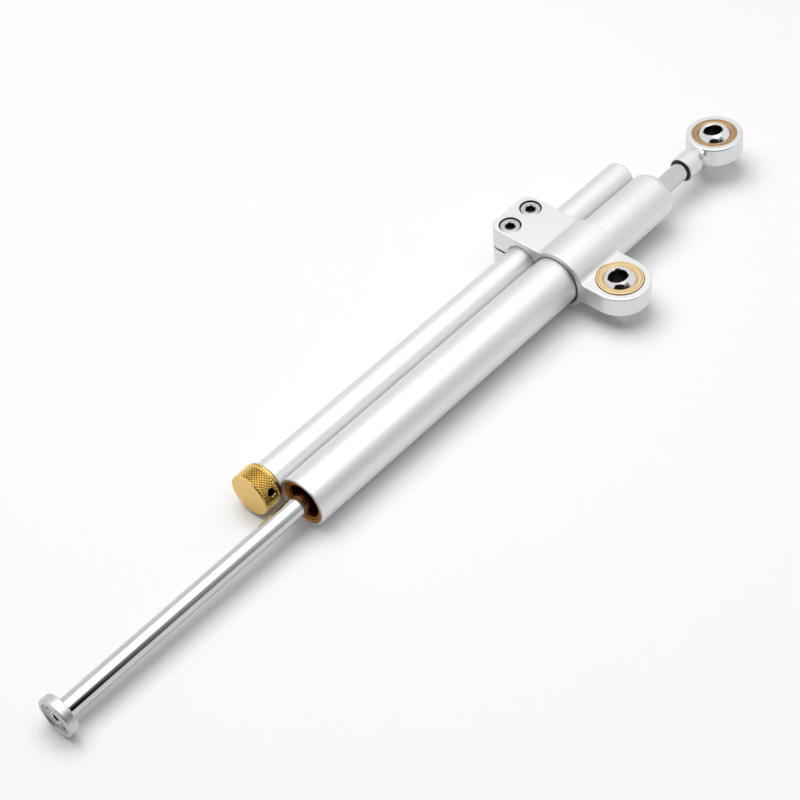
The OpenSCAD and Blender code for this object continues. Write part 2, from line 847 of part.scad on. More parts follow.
module spindle() {
    color("lightgray") on_side() difference() {
        union() {
            translate([0, 0, spindle_start]) cylinder(h = collar_at - spindle_start + eps, r = spindle_r);
            translate([0, 0, collar_at]) cylinder(h = collar_t, r = collar_r);
            translate([0, 0, collar_at]) cylinder(h = tail_end - collar_at, r = tail_r);
        }
        translate([0, 0, needle_start - 1.5]) cylinder(h = tail_end, r = needle_r + running);
    }
}

module spindle_seal() {
    color("dimgray") on_side() cord_ring(spindle_cord_at, spindle_r + running / 2, spindle_cord_d - running);
}

module spindle_circlip() {
    color("slategray") on_side()
        circlip(clip2_at + fixed, clip2_t, chamber_r + clip2_depth - fixed, tail_r + running * 2);
}

module detent_ball() {
    color("lightgray") on_side() translate([-detent_off, 0, detent_at]) sphere(r = detent_r);
}

// Wound spring drawn as a stack of touching closed coils
module detent_spring() {
    start = detent_at + detent_r + spring_wire / 2 + fixed;
    pitch = (detent_hole_l - flange_t - start - spring_wire) / spring_turns;
    color("gray") on_side() translate([-detent_off, 0, 0]) difference() {
        ring(start - spring_wire / 2, start + pitch * spring_turns, detent_r - fixed, detent_r - spring_wire);
        for (i = [0 : spring_turns - 1])
            ring(start + pitch * (i + 0.3), start + pitch * (i + 0.8), detent_r + cut, detent_r - spring_wire / 2);
    }
}

module knob() {
    knurl_end = knob_back - knob_ring_l;
    ring_r = knob_r - knob_ring_inset;
    color("gold") on_side() difference() {
        turned([
            [0, knob_front], [knob_r - knob_bevel, knob_front], [knob_r, knob_front + knob_bevel],
            [knob_r, knurl_end - knob_ring_inset], [ring_r, knurl_end], [ring_r, knob_back - knob_bevel],
            [ring_r - knob_bevel, knob_back], [0, knob_back]
        ]);
        translate([0, 0, spindle_start - fixed]) cylinder(h = knob_l, r = spindle_r + fixed);
        translate([0, 0, detent_at]) rotate_extrude() translate([detent_off, 0]) circle(r = detent_r + running);
        rotate([0, 0, grub_turn]) translate([0, 0, grub_at]) rotate([-90, 0, 0])
            cylinder(h = knob_d, r = grub_r + fixed);
    }
}

module knob_grub_screw() {
    start = spindle_r + fixed;
    color("dimgray") on_side() rotate([0, 0, grub_turn]) translate([0, 0, grub_at]) rotate([-90, 0, 0])
        difference() {
            translate([0, 0, start]) cylinder(h = grub_l, r = grub_r);
            hexagon(start + grub_l - 1.5, 1.5 + cut, grub_key_r);
        }
}

main_tube();
side_tube();
side_plug();
side_plug_seal();
port_sleeves();
front_gland();
gland_seal();
front_bush();
front_rod_seal();
front_wiper();
rear_guide();
rear_guide_seal();
rear_bush();
rear_rod_seal();
rear_wiper();
rear_circlip();
piston();
piston_band();
band_spring_ring();
piston_shims();
piston_circlips();
rod();
end_stop();
end_stop_screw();
bump_ring();
rod_end();
rod_end_race();
rod_end_ball();
clamp_bracket();
clamp_screws();
clamp_race();
clamp_ball();
adjuster_body();
adjuster_seal();
valve_seat();
needle();
spindle();
spindle_seal();
spindle_circlip();
detent_ball();
detent_spring();
knob();
knob_grub_screw();
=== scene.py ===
import json
from math import ceil, cos, pi, radians, sin, sqrt

import bmesh
import bpy
import numpy as np
from mathutils import Matrix, Vector


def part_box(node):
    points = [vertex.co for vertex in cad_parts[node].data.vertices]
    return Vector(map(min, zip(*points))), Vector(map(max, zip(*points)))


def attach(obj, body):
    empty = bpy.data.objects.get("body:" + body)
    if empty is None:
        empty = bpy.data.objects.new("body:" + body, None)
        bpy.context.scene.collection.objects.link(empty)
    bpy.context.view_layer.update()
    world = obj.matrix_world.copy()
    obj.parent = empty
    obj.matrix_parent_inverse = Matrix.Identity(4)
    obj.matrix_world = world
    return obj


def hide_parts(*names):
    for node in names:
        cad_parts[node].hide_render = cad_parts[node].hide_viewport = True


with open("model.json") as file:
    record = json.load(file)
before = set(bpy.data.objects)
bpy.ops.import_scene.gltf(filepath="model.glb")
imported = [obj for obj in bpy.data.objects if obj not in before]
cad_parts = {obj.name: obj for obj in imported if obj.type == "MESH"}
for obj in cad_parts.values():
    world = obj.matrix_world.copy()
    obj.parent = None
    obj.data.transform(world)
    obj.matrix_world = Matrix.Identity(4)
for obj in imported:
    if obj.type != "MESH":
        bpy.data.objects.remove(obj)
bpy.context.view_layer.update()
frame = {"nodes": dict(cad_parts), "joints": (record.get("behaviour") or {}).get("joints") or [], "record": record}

MM = 0.001

# Places and main sizes, read from the frame, in millimetres
nodes = frame["nodes"]
joints = {joint["name"]: joint for joint in frame["joints"]}
mounts = {mount["name"]: mount for mount in frame["record"]["mounts"]}


def box_mm(node):
    """A node's lowest and highest corner, in millimetres."""
    low, high = (np.array(corner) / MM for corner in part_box(node))
    return low, high


tube_low, tube_high = box_mm("main_tube")
side_low, side_high = box_mm("side_tube")
plug_low, plug_high = box_mm("side_plug")
gland_low, gland_high = box_mm("front_gland")
rod_low, rod_high = box_mm("rod")
stop_low, stop_high = box_mm("end_stop")
stop_screw_low, stop_screw_high = box_mm("end_stop_screw")
bump_low, bump_high = box_mm("bump_ring")
eye_low, eye_high = box_mm("rod_end")
race_low, race_high = box_mm("clamp_race")
bracket_low, bracket_high = box_mm("clamp_bracket")
screws_low, screws_high = box_mm("clamp_screws")
knob_low, knob_high = box_mm("knob")

TUBE_START, TUBE_END = tube_low[0], tube_high[0]
TUBE_R = (tube_high[1] - tube_low[1]) / 2
SIDE_R = (side_high[1] - side_low[1]) / 2
ROD_R = (rod_high[1] - rod_low[1]) / 2
MAIN_Y = ((tube_low + tube_high) / 2)[1]
SIDE_Y = ((side_low + side_high) / 2)[1]
MAIN_AXIS = (0, MAIN_Y, 0)
SIDE_AXIS = (0, SIDE_Y, 0)
EYE = Vector(joints["rod_end_race_spin"]["pos_m"]) / MM
EYE_AXIS = Vector(joints["rod_end_race_spin"]["axis"])
EYE_BALL_AXIS = Vector(mounts["rod_end_bearing"]["axis"])
CLAMP_BALL_AXIS = Vector(mounts["clamp_bearing"]["axis"])

# Sizes of the bearings, shared by several pieces
BALL_R = 7.94
BALL_HALF = 6.0
BOLT_R = 4.0
RACE_R = (race_high[0] - race_low[0]) / 2

# Gaps between pieces, and how far a cutter reaches past the piece that it cuts
FIT = 0.02
BORE_GAP = 0.05
PAST = 1

# The camera, fitted to the photograph's outlines
CAMERA_TARGET = Vector((-99.8, 28.2, 0.0)) * MM
CAMERA_TURN = (-44.04, 43.26, -5.87)
CAMERA_DISTANCE = 748.7 * MM
CAMERA_LENS = 88.8
CAMERA_SENSOR = 36.0
CAMERA_CLIP = (0.05, 30.0)


def make_camera():
    """Looks at the target: turned about Z, tipped about X, then rolled about its own line of view."""
    yaw, pitch, roll = (radians(angle) for angle in CAMERA_TURN)
    turn = Matrix.Rotation(yaw, 4, "Z") @ Matrix.Rotation(pitch, 4, "X") @ Matrix.Rotation(roll, 4, "Z")
    data = bpy.data.cameras.new("photo_camera")
    data.lens = CAMERA_LENS
    data.sensor_width = CAMERA_SENSOR
    data.clip_start, data.clip_end = CAMERA_CLIP
    camera = bpy.data.objects.new("photo_camera", data)
    back = Matrix.Translation((0, 0, CAMERA_DISTANCE))
    camera.matrix_world = Matrix.Translation(CAMERA_TARGET) @ turn @ back
    bpy.context.scene.collection.objects.link(camera)
    bpy.context.scene.camera = camera


make_camera()


# Places for turned pieces, whose own axis is Z

def along_x(origin):
    """Lays a piece along X, so that its stations are X places."""
    return Matrix.Translation(Vector(origin) * MM) @ Matrix.Rotation(radians(90), 4, "Y")


def along(origin, axis):
    """Stands a piece on an axis through the origin."""
    turn = Vector((0, 0, 1)).rotation_difference(Vector(axis)).to_matrix().to_4x4()
    return Matrix.Translation(Vector(origin) * MM) @ turn


ON_MAIN = along_x(MAIN_AXIS)
ON_SIDE = along_x(SIDE_AXIS)


# Making meshes

# Segments round large, usual and small turned pieces, and round cut holes down to hexagons
LARGE, USUAL, SMALL = 256, 192, 128
HOLE, TINY, PIN, HEXAGON = 96, 64, 48, 6

ARC_STEPS_PER_MM = 3.5
LEAST_ARC_STEPS = 4
STRAIGHT_TURN = 0.02


def rounded(points, radius=0.0, support=0.05):
    """Outline whose corners are arcs, each with a support point just before and after it.

    A point is (across, along) or (across, along, its own radius). An arc's tangent length is its radius
    times the tangent of half the turn. The first and last points stay as they are.
    """
    corners = [np.array(point[:2], float) for point in points]
    radii = [point[2] if len(point) > 2 else radius for point in points]
    outline = [corners[0]]
    for before, corner, after, size in zip(corners, corners[1:], corners[2:], radii[1:-1]):
        into, out = corner - before, after - corner
        into, out = into / np.linalg.norm(into), out / np.linalg.norm(out)
        side = into[0] * out[1] - into[1] * out[0]
        turn = np.arctan2(abs(side), into @ out)
        if size == 0 or turn < STRAIGHT_TURN:
            outline.append(corner)
            continue
        reach = size * np.tan(turn / 2)
        normal = np.array([-into[1], into[0]]) * np.sign(side)
        steps = max(LEAST_ARC_STEPS, ceil(size * ARC_STEPS_PER_MM * turn))
        angles = np.linspace(0, turn, steps + 1)[:, None]
        start = corner - into * reach
        arc = start + normal * size * (1 - np.cos(angles)) + into * size * np.sin(angles)
        outline += [start - into * support, *arc, corner + out * (reach + support)]
    outline.append(corners[-1])
    return np.array(outline)


def rounded_ring(points, radius=0.0, support=0.05):
    """Closed rounded outline: it starts in the middle of the edge between the last and the first point."""
    seam = tuple((np.array(points[0][:2], float) + np.array(points[-1][:2], float)) / 2)
    return rounded([seam, *points, seam], radius, support)[:-1]


def mesh_object(name, points, faces, place=None, merge=1e-7):
    """Object from points in millimetres, with doubles merged and faces outwards."""
    mesh = bpy.data.meshes.new(name)
    mesh.from_pydata((np.asarray(points).reshape(-1, 3) * MM).tolist(), [], faces)
    work = bmesh.new()
    work.from_mesh(mesh)
    bmesh.ops.remove_doubles(work, verts=work.verts, dist=merge)
    bmesh.ops.dissolve_degenerate(work, dist=merge, edges=work.edges)
    bmesh.ops.recalc_face_normals(work, faces=work.faces)
    work.to_mesh(mesh)
    work.free()
    if place is not None:
        mesh.transform(place)
    piece = bpy.data.objects.new(name, mesh)
    bpy.context.scene.collection.objects.link(piece)
    smooth(piece)
    return piece


def grid_faces(rows, columns, wrap_rows=True, wrap_columns=False):
    """Four-sided faces between neighbouring points of a grid, wrapped round where asked."""
    row = np.arange(rows if wrap_rows else rows - 1)[:, None]
    column = np.arange(columns if wrap_columns else columns - 1)[None, :]
    next_row, next_column = (row + 1) % rows, (column + 1) % columns
    corners = [row * columns + column, row * columns + next_column,
               next_row * columns + next_column, next_row * columns + column]
    return np.stack(np.broadcast_arrays(*corners), -1).reshape(-1, 4).tolist()


def smooth(piece, angle=30):
    """Smooth shading, with edges sharper than the angle kept."""
    mesh = piece.data
    mesh.polygons.foreach_set("use_smooth", np.ones(len(mesh.polygons), bool))
    mesh.set_sharp_from_angle(angle=radians(angle))


def weigh_normals(piece):
    """Lets the large faces rule the normals, so flat faces stay flat beside their rounded edges."""
    modifier = piece.modifiers.new("flat_faces", "WEIGHTED_NORMAL")
    modifier.mode = "FACE_AREA"
    modifier.weight = 80
    modifier.keep_sharp = True
    return piece


def turned(name, outline, place, segments=USUAL, closed=False, relief=None):
    """Surface of revolution: each outline point (radius, station) swept round the axis.

    At the angle t it lies at (radius cos t, radius sin t, station). A relief adds to the radius, as a
    function of angle and station. A closed outline makes a ring with a bore.
    """
    angle = np.linspace(0, 2 * pi, segments, endpoint=False)[:, None]
    radius = np.broadcast_to(outline[None, :, 0], (segments, len(outline))).copy()
    station = np.broadcast_to(outline[None, :, 1], radius.shape)
    if relief is not None:
        radius += relief(angle, station)
    points = np.stack([radius * np.cos(angle), radius * np.sin(angle), station], -1)
    return mesh_object(name, points, grid_faces(segments, len(outline), wrap_columns=closed), place)


def cutter(outline, place, segments=HOLE, turn=0.0):
    """Turned piece used for a cut."""
    return turned("cutter", np.array(outline, float), place @ Matrix.Rotation(turn, 4, "Z"), segments)


def cut(piece, *cutters, angle=30):
    """Takes each cutter away from the piece and removes the cutter."""
    for tool in cutters:
        modifier = piece.modifiers.new("cut", "BOOLEAN")
        modifier.operation = "DIFFERENCE"
        modifier.solver = "EXACT"
        modifier.object = tool
        graph = bpy.context.evaluated_depsgraph_get()
        mesh = bpy.data.meshes.new_from_object(piece.evaluated_get(graph))
        piece.modifiers.clear()
        piece.data = mesh
        bpy.data.objects.remove(tool)
    smooth(piece, angle)
    return piece


def joined(name, pieces):
    """One object from several, all with their places in their meshes."""
    work = bmesh.new()
    for piece in pieces:
        work.from_mesh(piece.data)
        bpy.data.objects.remove(piece)
    mesh = bpy.data.meshes.new(name)
    work.to_mesh(mesh)
    work.free()
    whole = bpy.data.objects.new(name, mesh)
    bpy.context.scene.collection.objects.link(whole)
    smooth(whole)
    return whole


# Shader nodes

def node_group(name, inputs, outputs):
    """Shader group with named inputs (type, default) and named values to put out, and what it is given."""
    group = bpy.data.node_groups.new(name, "ShaderNodeTree")
    for label, (kind, default) in inputs.items():
        socket = group.interface.new_socket(name=label, in_out="INPUT", socket_type=kind)
        if default is not None:
            socket.default_value = default
    for label in outputs:
        group.interface.new_socket(name=label, in_out="OUTPUT", socket_type="NodeSocketFloat")
    return group, group.nodes.new("NodeGroupInput").outputs


def add(tree, kind, values=None, links=None, **settings):
    """Adds a node, sets its properties and input values, and links inputs to the given outputs."""
    node = tree.nodes.new(kind)
    for name, value in settings.items():
        setattr(node, name, value)
    for name, value in (values or {}).items():
        node.inputs[name].default_value = value
    for name, source in (links or {}).items():
        tree.links.new(source, node.inputs[name])
    return node


def put_out(group, **sources):
    """Links values to the group's outputs."""
    leave = group.nodes.new("NodeGroupOutput")
    for name, source in sources.items():
        group.links.new(source, leave.inputs[name])


def ranged(tree, source, low, high, from_low=0.0, from_high=1.0):
    """Value mapped from one range to another."""
    values = {"From Min": from_low, "From Max": from_high, "To Min": low, "To Max": high}
    return add(tree, "ShaderNodeMapRange", values, {"Value": source}).outputs["Result"]


# Where nearly all of a noise's values lie
NOISE_LOW, NOISE_HIGH = 0.3, 0.7


def spread_out(tree, noise_value, low=0.0, high=1.0):
    """A noise's value drawn out to a whole range."""
    return ranged(tree, noise_value, low, high, NOISE_LOW, NOISE_HIGH)


def blended(tree, factor, first, second):
    """Colour between two colours by a factor."""
    mix = add(tree, "ShaderNodeMix", None, {"Factor": factor}, data_type="RGBA")
    mix.inputs[6].default_value = (*first, 1)
    mix.inputs[7].default_value = (*second, 1)
    return mix.outputs[2]


def metres(tree, per_mm):
    """Noise scale, which counts in metres, from a count per millimetre."""
    return add(tree, "ShaderNodeMath", {1: 1 / MM}, {0: per_mm}, operation="MULTIPLY").outputs[0]


def one_in(tree, size_mm):
    """Noise scale from a size in millimetres."""
    return add(tree, "ShaderNodeMath", {0: 1 / MM}, {1: size_mm}, operation="DIVIDE").outputs[0]


def satin_group():
    """Blasted and anodised skin: fine grain, and slow clouds."""
    group, given = node_group("satin_skin", {
        "Vector": ("NodeSocketVector", None), "Grain per mm": ("NodeSocketFloat", 5.0),
        "Cloud size": ("NodeSocketFloat", 20.0),
    }, ("Grain", "Cloud"))
    grain = add(group, "ShaderNodeTexNoise", {"Detail": 3.0, "Roughness": 0.6},
                {"Vector": given["Vector"], "Scale": metres(group, given["Grain per mm"])})
    cloud = add(group, "ShaderNodeTexNoise", {"Detail": 2.0, "Roughness": 0.5},
                {"Vector": given["Vector"], "Scale": one_in(group, given["Cloud size"])})
    put_out(group, Grain=grain.outputs["Fac"], Cloud=cloud.outputs["Fac"])
    return group


def lathe_group():
    """Rings left by a lathe about the Z of its vector: noise along the radius and the height."""
    group, given = node_group("lathe_rings", {
        "Vector": ("NodeSocketVector", None), "Rings per mm": ("NodeSocketFloat", 4.0),
    }, ("Rings",))
    flat = add(group, "ShaderNodeVectorMath", {1: (1, 1, 0)}, {0: given["Vector"]}, operation="MULTIPLY")
    radius = add(group, "ShaderNodeVectorMath", None, {0: flat.outputs[0]}, operation="LENGTH")
    parts = add(group, "ShaderNodeSeparateXYZ", None, {0: given["Vector"]})
    both = add(group, "ShaderNodeMath", None, {0: radius.outputs["Value"], 1: parts.outputs["Z"]},
               operation="ADD")
    rings = add(group, "ShaderNodeTexNoise", {"Detail": 2.0, "Roughness": 0.7},
                {"W": both.outputs[0], "Scale": metres(group, given["Rings per mm"])},
                noise_dimensions="1D")
    put_out(group, Rings=rings.outputs["Fac"])
    return group


# Scratches: how densely their noise is packed along and across them, how they are turned, and the
# values between which they fade in
SCRATCH_STRETCH = (60.0, 2500.0, 2500.0)
SCRATCH_TURN = (0.1, 0.25, 0.3)
SCRATCH_FADE = (0.62, 0.72)


def marks_group():
    """Handling marks: smudges, and fine scratches from noise drawn out along one direction."""
    group, given = node_group("handling_marks", {
        "Vector": ("NodeSocketVector", None), "Smudge size": ("NodeSocketFloat", 6.0),
    }, ("Smudge", "Scratch"))
    smudge = add(group, "ShaderNodeTexNoise", {"Detail": 4.0, "Roughness": 0.55, "Distortion": 0.6},
                 {"Vector": given["Vector"], "Scale": one_in(group, given["Smudge size"])})
    drawn = add(group, "ShaderNodeMapping", {"Scale": SCRATCH_STRETCH, "Rotation": SCRATCH_TURN},
                {"Vector": given["Vector"]})
    scratch = add(group, "ShaderNodeTexNoise", {"Scale": 1.0, "Detail": 3.0, "Roughness": 0.5},
                  {"Vector": drawn.outputs["Vector"]})
    put_out(group, Smudge=smudge.outputs["Fac"],
            Scratch=ranged(group, scratch.outputs["Fac"], 0.0, 1.0, *SCRATCH_FADE))
    return group


SATIN = satin_group()
LATHE = lathe_group()
MARKS = marks_group()


# Materials

# Between which values of the smudge noise a polished metal changes its tone and its gloss
SMUDGE_TONE = (0.35, 0.65)
SMUDGE_GLOSS = (0.45, 0.75)


def new_material(name, color, metallic=1.0, specular=None):
    """Material with its tree, its shader and its Object coordinates."""
    material = bpy.data.materials.new(name)
    material.use_nodes = True
    tree = material.node_tree
    shader = tree.nodes["Principled BSDF"]
    shader.inputs["Base Color"].default_value = (*color, 1)
    shader.inputs["Metallic"].default_value = metallic
    if specular is not None:
        shader.inputs["Specular IOR Level"].default_value = specular
    place = tree.nodes.new("ShaderNodeTexCoord").outputs["Object"]
    return material, tree, shader, place


def grouped(tree, group, place, **values):
    """Outputs of a node group that is fed with a vector and its own values."""
    node = tree.nodes.new("ShaderNodeGroup")
    node.node_tree = group
    tree.links.new(place, node.inputs["Vector"])
    for name, value in values.items():
        node.inputs[name.replace("_", " ")].default_value = value
    return node.outputs


def tinted(tree, shader, factor, dark, light):
    """Base colour between two colours by a factor."""
    tree.links.new(blended(tree, factor, dark, light), shader.inputs["Base Color"])


def uneven(tree, shader, noise_value, roughness, spread):
    """Roughness that a noise moves by the spread to either side."""
    tree.links.new(spread_out(tree, noise_value, roughness - spread, roughness + spread),
                   shader.inputs["Roughness"])


def bumped(tree, shader, height, distance, strength=1.0):
    """Bump from a height, with its distance in millimetres."""
    bump = add(tree, "ShaderNodeBump", {"Strength": strength, "Distance": distance * MM}, {"Height": height})
    tree.links.new(bump.outputs["Normal"], shader.inputs["Normal"])


def grained(name, tones, roughness, spread, grain, cloud, bump, **base):
    """Material with a fine even grain, slow clouds in its colour and a slightly uneven gloss."""
    material, tree, shader, place = new_material(name, tones[1], **base)
    skin = grouped(tree, SATIN, place, Grain_per_mm=grain, Cloud_size=cloud)
    tinted(tree, shader, spread_out(tree, skin["Cloud"]), *tones)
    uneven(tree, shader, skin["Grain"], roughness, spread)
    bumped(tree, shader, skin["Grain"], bump)
    return material


def satin_metal(name, dark, light, roughness, cloud=25.0, bump=0.004):
    """Blasted, brushed or anodised metal; the cloud's size and the bump's depth are in millimetres."""
    return grained(name, (dark, light), roughness, 0.03, 4.0, cloud, bump)


def moulded(name, dark, light, roughness):
    """Rubber or plastic with a fine moulded grain."""
    return grained(name, (dark, light), roughness, 0.08, 3.0, 3.0, 0.01, metallic=0.0, specular=0.4)


def polished_metal(name, dark, light, roughness, smear):
    """Bright metal with faint smudges and hairline scratches in its gloss."""
    material, tree, shader, place = new_material(name, light)
    marks = grouped(tree, MARKS, place, Smudge_size=9.0)
    tinted(tree, shader, ranged(tree, marks["Smudge"], 0, 1, *SMUDGE_TONE), dark, light)
    smudge = ranged(tree, marks["Smudge"], roughness, roughness + smear, *SMUDGE_GLOSS)
    worn = add(tree, "ShaderNodeMath", {1: smear}, {0: marks["Scratch"], 2: smudge},
               operation="MULTIPLY_ADD")
    tree.links.new(worn.outputs[0], shader.inputs["Roughness"])
    bumped(tree, shader, marks["Scratch"], 0.0006, 0.4)
    return material


def turned_metal(name, dark, light, roughness):
    """Metal with lathe rings about the main tube's axis."""
    material, tree, shader, place = new_material(name, light)
    laid = add(tree, "ShaderNodeMapping", {"Location": Vector(MAIN_AXIS) * MM, "Rotation": (0, pi / 2, 0)},
               {"Vector": place}, vector_type="TEXTURE")
    lathe = grouped(tree, LATHE, laid.outputs["Vector"], Rings_per_mm=3.0)
    skin = grouped(tree, SATIN, place, Grain_per_mm=5.0, Cloud_size=5.0)
    tinted(tree, shader, spread_out(tree, skin["Cloud"]), dark, light)
    uneven(tree, shader, lathe["Rings"], roughness, 0.05)
    bumped(tree, shader, lathe["Rings"], 0.006)
    return material


KNOB_R = (knob_high[1] - knob_low[1]) / 2
KNURL_DEPTH = 0.42
KNOB_GOLD = (0.74, 0.50, 0.15)
# Radii between which groove turns to land, and stations between which the face turns to the wall
LAND_FADE = ((KNOB_R - 0.8 * KNURL_DEPTH) * MM, (KNOB_R - 0.12) * MM)
FACE_FADE = ((knob_low[0] + 0.1) * MM, (knob_low[0] + 0.3) * MM)
# Painted shade in the knurl's grooves, and a painted highlight on its lands above the knob's plain gold
GROOVE_SHADE_BROWN = (0.50, 0.31, 0.06)
LAND_HIGHLIGHT_GOLD = (0.99, 0.78, 0.30)


def knurled_gold():
    """Satin gold with painted shade that turns it brown in the knurl's grooves and a painted highlight that
    lightens its lands, by its distance from the knob's axis.
    """
    material, tree, shader, place = new_material("gold_knob", KNOB_GOLD)
    skin = grouped(tree, SATIN, place, Grain_per_mm=6.0, Cloud_size=6.0)
    centred = add(tree, "ShaderNodeVectorMath", {1: (0, SIDE_Y * MM, 0)}, {0: place}, operation="SUBTRACT")
    parts = add(tree, "ShaderNodeSeparateXYZ", None, {0: centred.outputs[0]})
    across = add(tree, "ShaderNodeVectorMath", {1: (0, 1, 1)}, {0: centred.outputs[0]},
                 operation="MULTIPLY")
    radius = add(tree, "ShaderNodeVectorMath", None, {0: across.outputs[0]}, operation="LENGTH")
    land = ranged(tree, radius.outputs["Value"], 0, 1, *LAND_FADE)
    face = ranged(tree, parts.outputs["X"], 1, 0, *FACE_FADE)
    wall = blended(tree, land, GROOVE_SHADE_BROWN, LAND_HIGHLIGHT_GOLD)
    color = add(tree, "ShaderNodeMix", {7: (*KNOB_GOLD, 1)}, {0: face, 6: wall}, data_type="RGBA")
    tree.links.new(color.outputs[2], shader.inputs["Base Color"])
    uneven(tree, shader, skin["Grain"], 0.28, 0.04)
    bumped(tree, shader, skin["Grain"], 0.0015)
    return material


# Dark tone, light tone and roughness of each finish, then its cloud size, bump depth or smear
SATIN_METALS = {
    "anodised_tube": ((0.735, 0.735, 0.745), (0.765, 0.765, 0.77), 0.46),
    "anodised_block": ((0.72, 0.72, 0.73), (0.75, 0.75, 0.755), 0.42, 25.0, 0.005),
    "bronze": ((0.72, 0.54, 0.29), (0.80, 0.62, 0.36), 0.34, 3.0),
    "screw_steel": ((0.52, 0.51, 0.48), (0.60, 0.59, 0.56), 0.3, 2.0),
    "turned_steel": ((0.50, 0.49, 0.47), (0.58, 0.57, 0.55), 0.35, 3.0),
    "piston_metal": ((0.55, 0.56, 0.58), (0.64, 0.65, 0.67), 0.38, 4.0),
    "spring_steel": ((0.30, 0.29, 0.28), (0.40, 0.39, 0.37), 0.35, 2.0),
}
POLISHED_METALS = {
    "hard_chrome": ((0.56, 0.565, 0.58), (0.60, 0.605, 0.62), 0.05, 0.03),
    "ball_chrome": ((0.70, 0.70, 0.71), (0.76, 0.76, 0.77), 0.10, 0.05),
}
MOULDINGS = {
    "band_plastic": ((0.60, 0.56, 0.46), (0.70, 0.66, 0.56), 0.45),
    "seal_red": ((0.10, 0.014, 0.010), (0.15, 0.022, 0.015), 0.4),
    "seal_black": ((0.016, 0.016, 0.017), (0.026, 0.026, 0.027), 0.5),
    "bump_rubber": ((0.030, 0.036, 0.034), (0.05, 0.06, 0.056), 0.55),
}
FINISHES = {
    "gold_knob": knurled_gold(),
    "gold_gland": turned_metal("gold_gland", (0.56, 0.25, 0.05), (0.74, 0.37, 0.09), 0.3),
}
for maker, table in ((satin_metal, SATIN_METALS), (polished_metal, POLISHED_METALS), (moulded, MOULDINGS)):
    FINISHES.update({slot: maker(slot, *values) for slot, values in table.items()})

# Second finishes, for some faces of a piece: real tones for the eye's race and the end stop, and painted shade for
# holes, the gland's cup and the end stop's recess
# Painted shade: near-black colour for the insides of sockets, bores, counterbores and holes
PAINTED_HOLE_SHADE = satin_metal("painted_hole_shade", (0.05, 0.04, 0.034), (0.085, 0.068, 0.058), 0.4, 3.0)
BROWN_BRONZE = satin_metal("brown_bronze", (0.46, 0.30, 0.15), (0.54, 0.37, 0.19), 0.36, 3.0)
# Painted shade: dark brown colour for the inside of the gland's deep cup
PAINTED_CUP_SHADE = turned_metal("painted_cup_shade", (0.15, 0.034, 0.012), (0.25, 0.06, 0.02), 0.4)
STOP_GREY = satin_metal("stop_grey", (0.57, 0.57, 0.57), (0.63, 0.63, 0.63), 0.40, 6.0)
# Painted shade: a darker grey for the end stop's recess, where the rim shades it
PAINTED_RECESS_SHADE = satin_metal("painted_recess_shade", (0.40, 0.40, 0.395), (0.46, 0.46, 0.455), 0.38, 6.0)

for part in frame["record"]["subparts"]:
    part_mesh = nodes[part["node"]].data
    part_mesh.materials.clear()
    part_mesh.materials.append(FINISHES[part["material_slot"]])


def dress(piece, body, slot, *replaced):
    """Lets a piece ride on its body, stand for its nodes and take its slot's finish."""
    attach(piece, body)
    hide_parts(*replaced)
    piece.data.materials.clear()
    piece.data.materials.append(FINISHES[slot])


def shade(piece, finish, place, radius, low, high):
    """Gives another finish, a real tone or painted shade, to the faces inside a cylinder: its place, its radius
    and its two ends.
    """
    mesh = piece.data
    centre = np.empty(len(mesh.polygons) * 3)
    mesh.polygons.foreach_get("center", centre)
    centre = np.column_stack([centre.reshape(-1, 3), np.ones(len(mesh.polygons))])
    x, y, z = (centre @ np.array(place.inverted()).T).T[:3] / MM
    index = np.empty(len(mesh.polygons), int)
    mesh.polygons.foreach_get("material_index", index)
    if mesh.materials.find(finish.name) < 0:
        mesh.materials.append(finish)
    index[(np.hypot(x, y) < radius) & (z > low) & (z < high)] = mesh.materials.find(finish.name)
    mesh.polygons.foreach_set("material_index", index)


# Tubes. A turned piece's outline gives each corner's radius, its station along the axis and its rounding

MOUTH_BEVEL = 0.3
SEAT_R = TUBE_R - 1.0
BORE_R = TUBE_R - 1.5
BORE_END = TUBE_END - 11.0
NOSE_R = 5.5
NOSE_HOLE_R = ROD_R + 0.3
SIDE_BORE_R = SIDE_R - 1.25
PLUG_EDGE_R = 2.0
PLUG_KEY_R = 5 / sqrt(3)
PLUG_KEY_L = 2.5
PLUG_KEY_TIP = 0.8
PLUG_KEY_BEVEL = 0.3


def make_main_tube():
    """Bevelled mouth, long wall and rounded nose, with the seat and the oil bore inside."""
    outline = rounded_ring([
        (SEAT_R, TUBE_START, 0.15), (TUBE_R, TUBE_START, MOUTH_BEVEL), (TUBE_R, TUBE_END, NOSE_R),
        (NOSE_HOLE_R, TUBE_END, 0.25), (NOSE_HOLE_R, BORE_END), (BORE_R, BORE_END),
        (BORE_R, gland_high[0] + FIT), (SEAT_R, gland_high[0] + FIT),
    ])
    tube = turned("main_tube_skin", outline, ON_MAIN, LARGE, closed=True)
    dress(weigh_normals(tube), "barrel", "anodised_tube", "main_tube")


def make_side_tube():
    """Plain tube whose rear edge lies close against the plug's."""
    outline = rounded_ring([
        (SIDE_BORE_R, side_low[0], 0.1), (SIDE_R, side_low[0], 0.2),
        (SIDE_R, side_high[0], 0.03), (SIDE_BORE_R, side_high[0]),
    ], support=0.02)
    tube = turned("side_tube_skin", outline, ON_SIDE, closed=True)
    dress(weigh_normals(tube), "barrel", "anodised_tube", "side_tube")


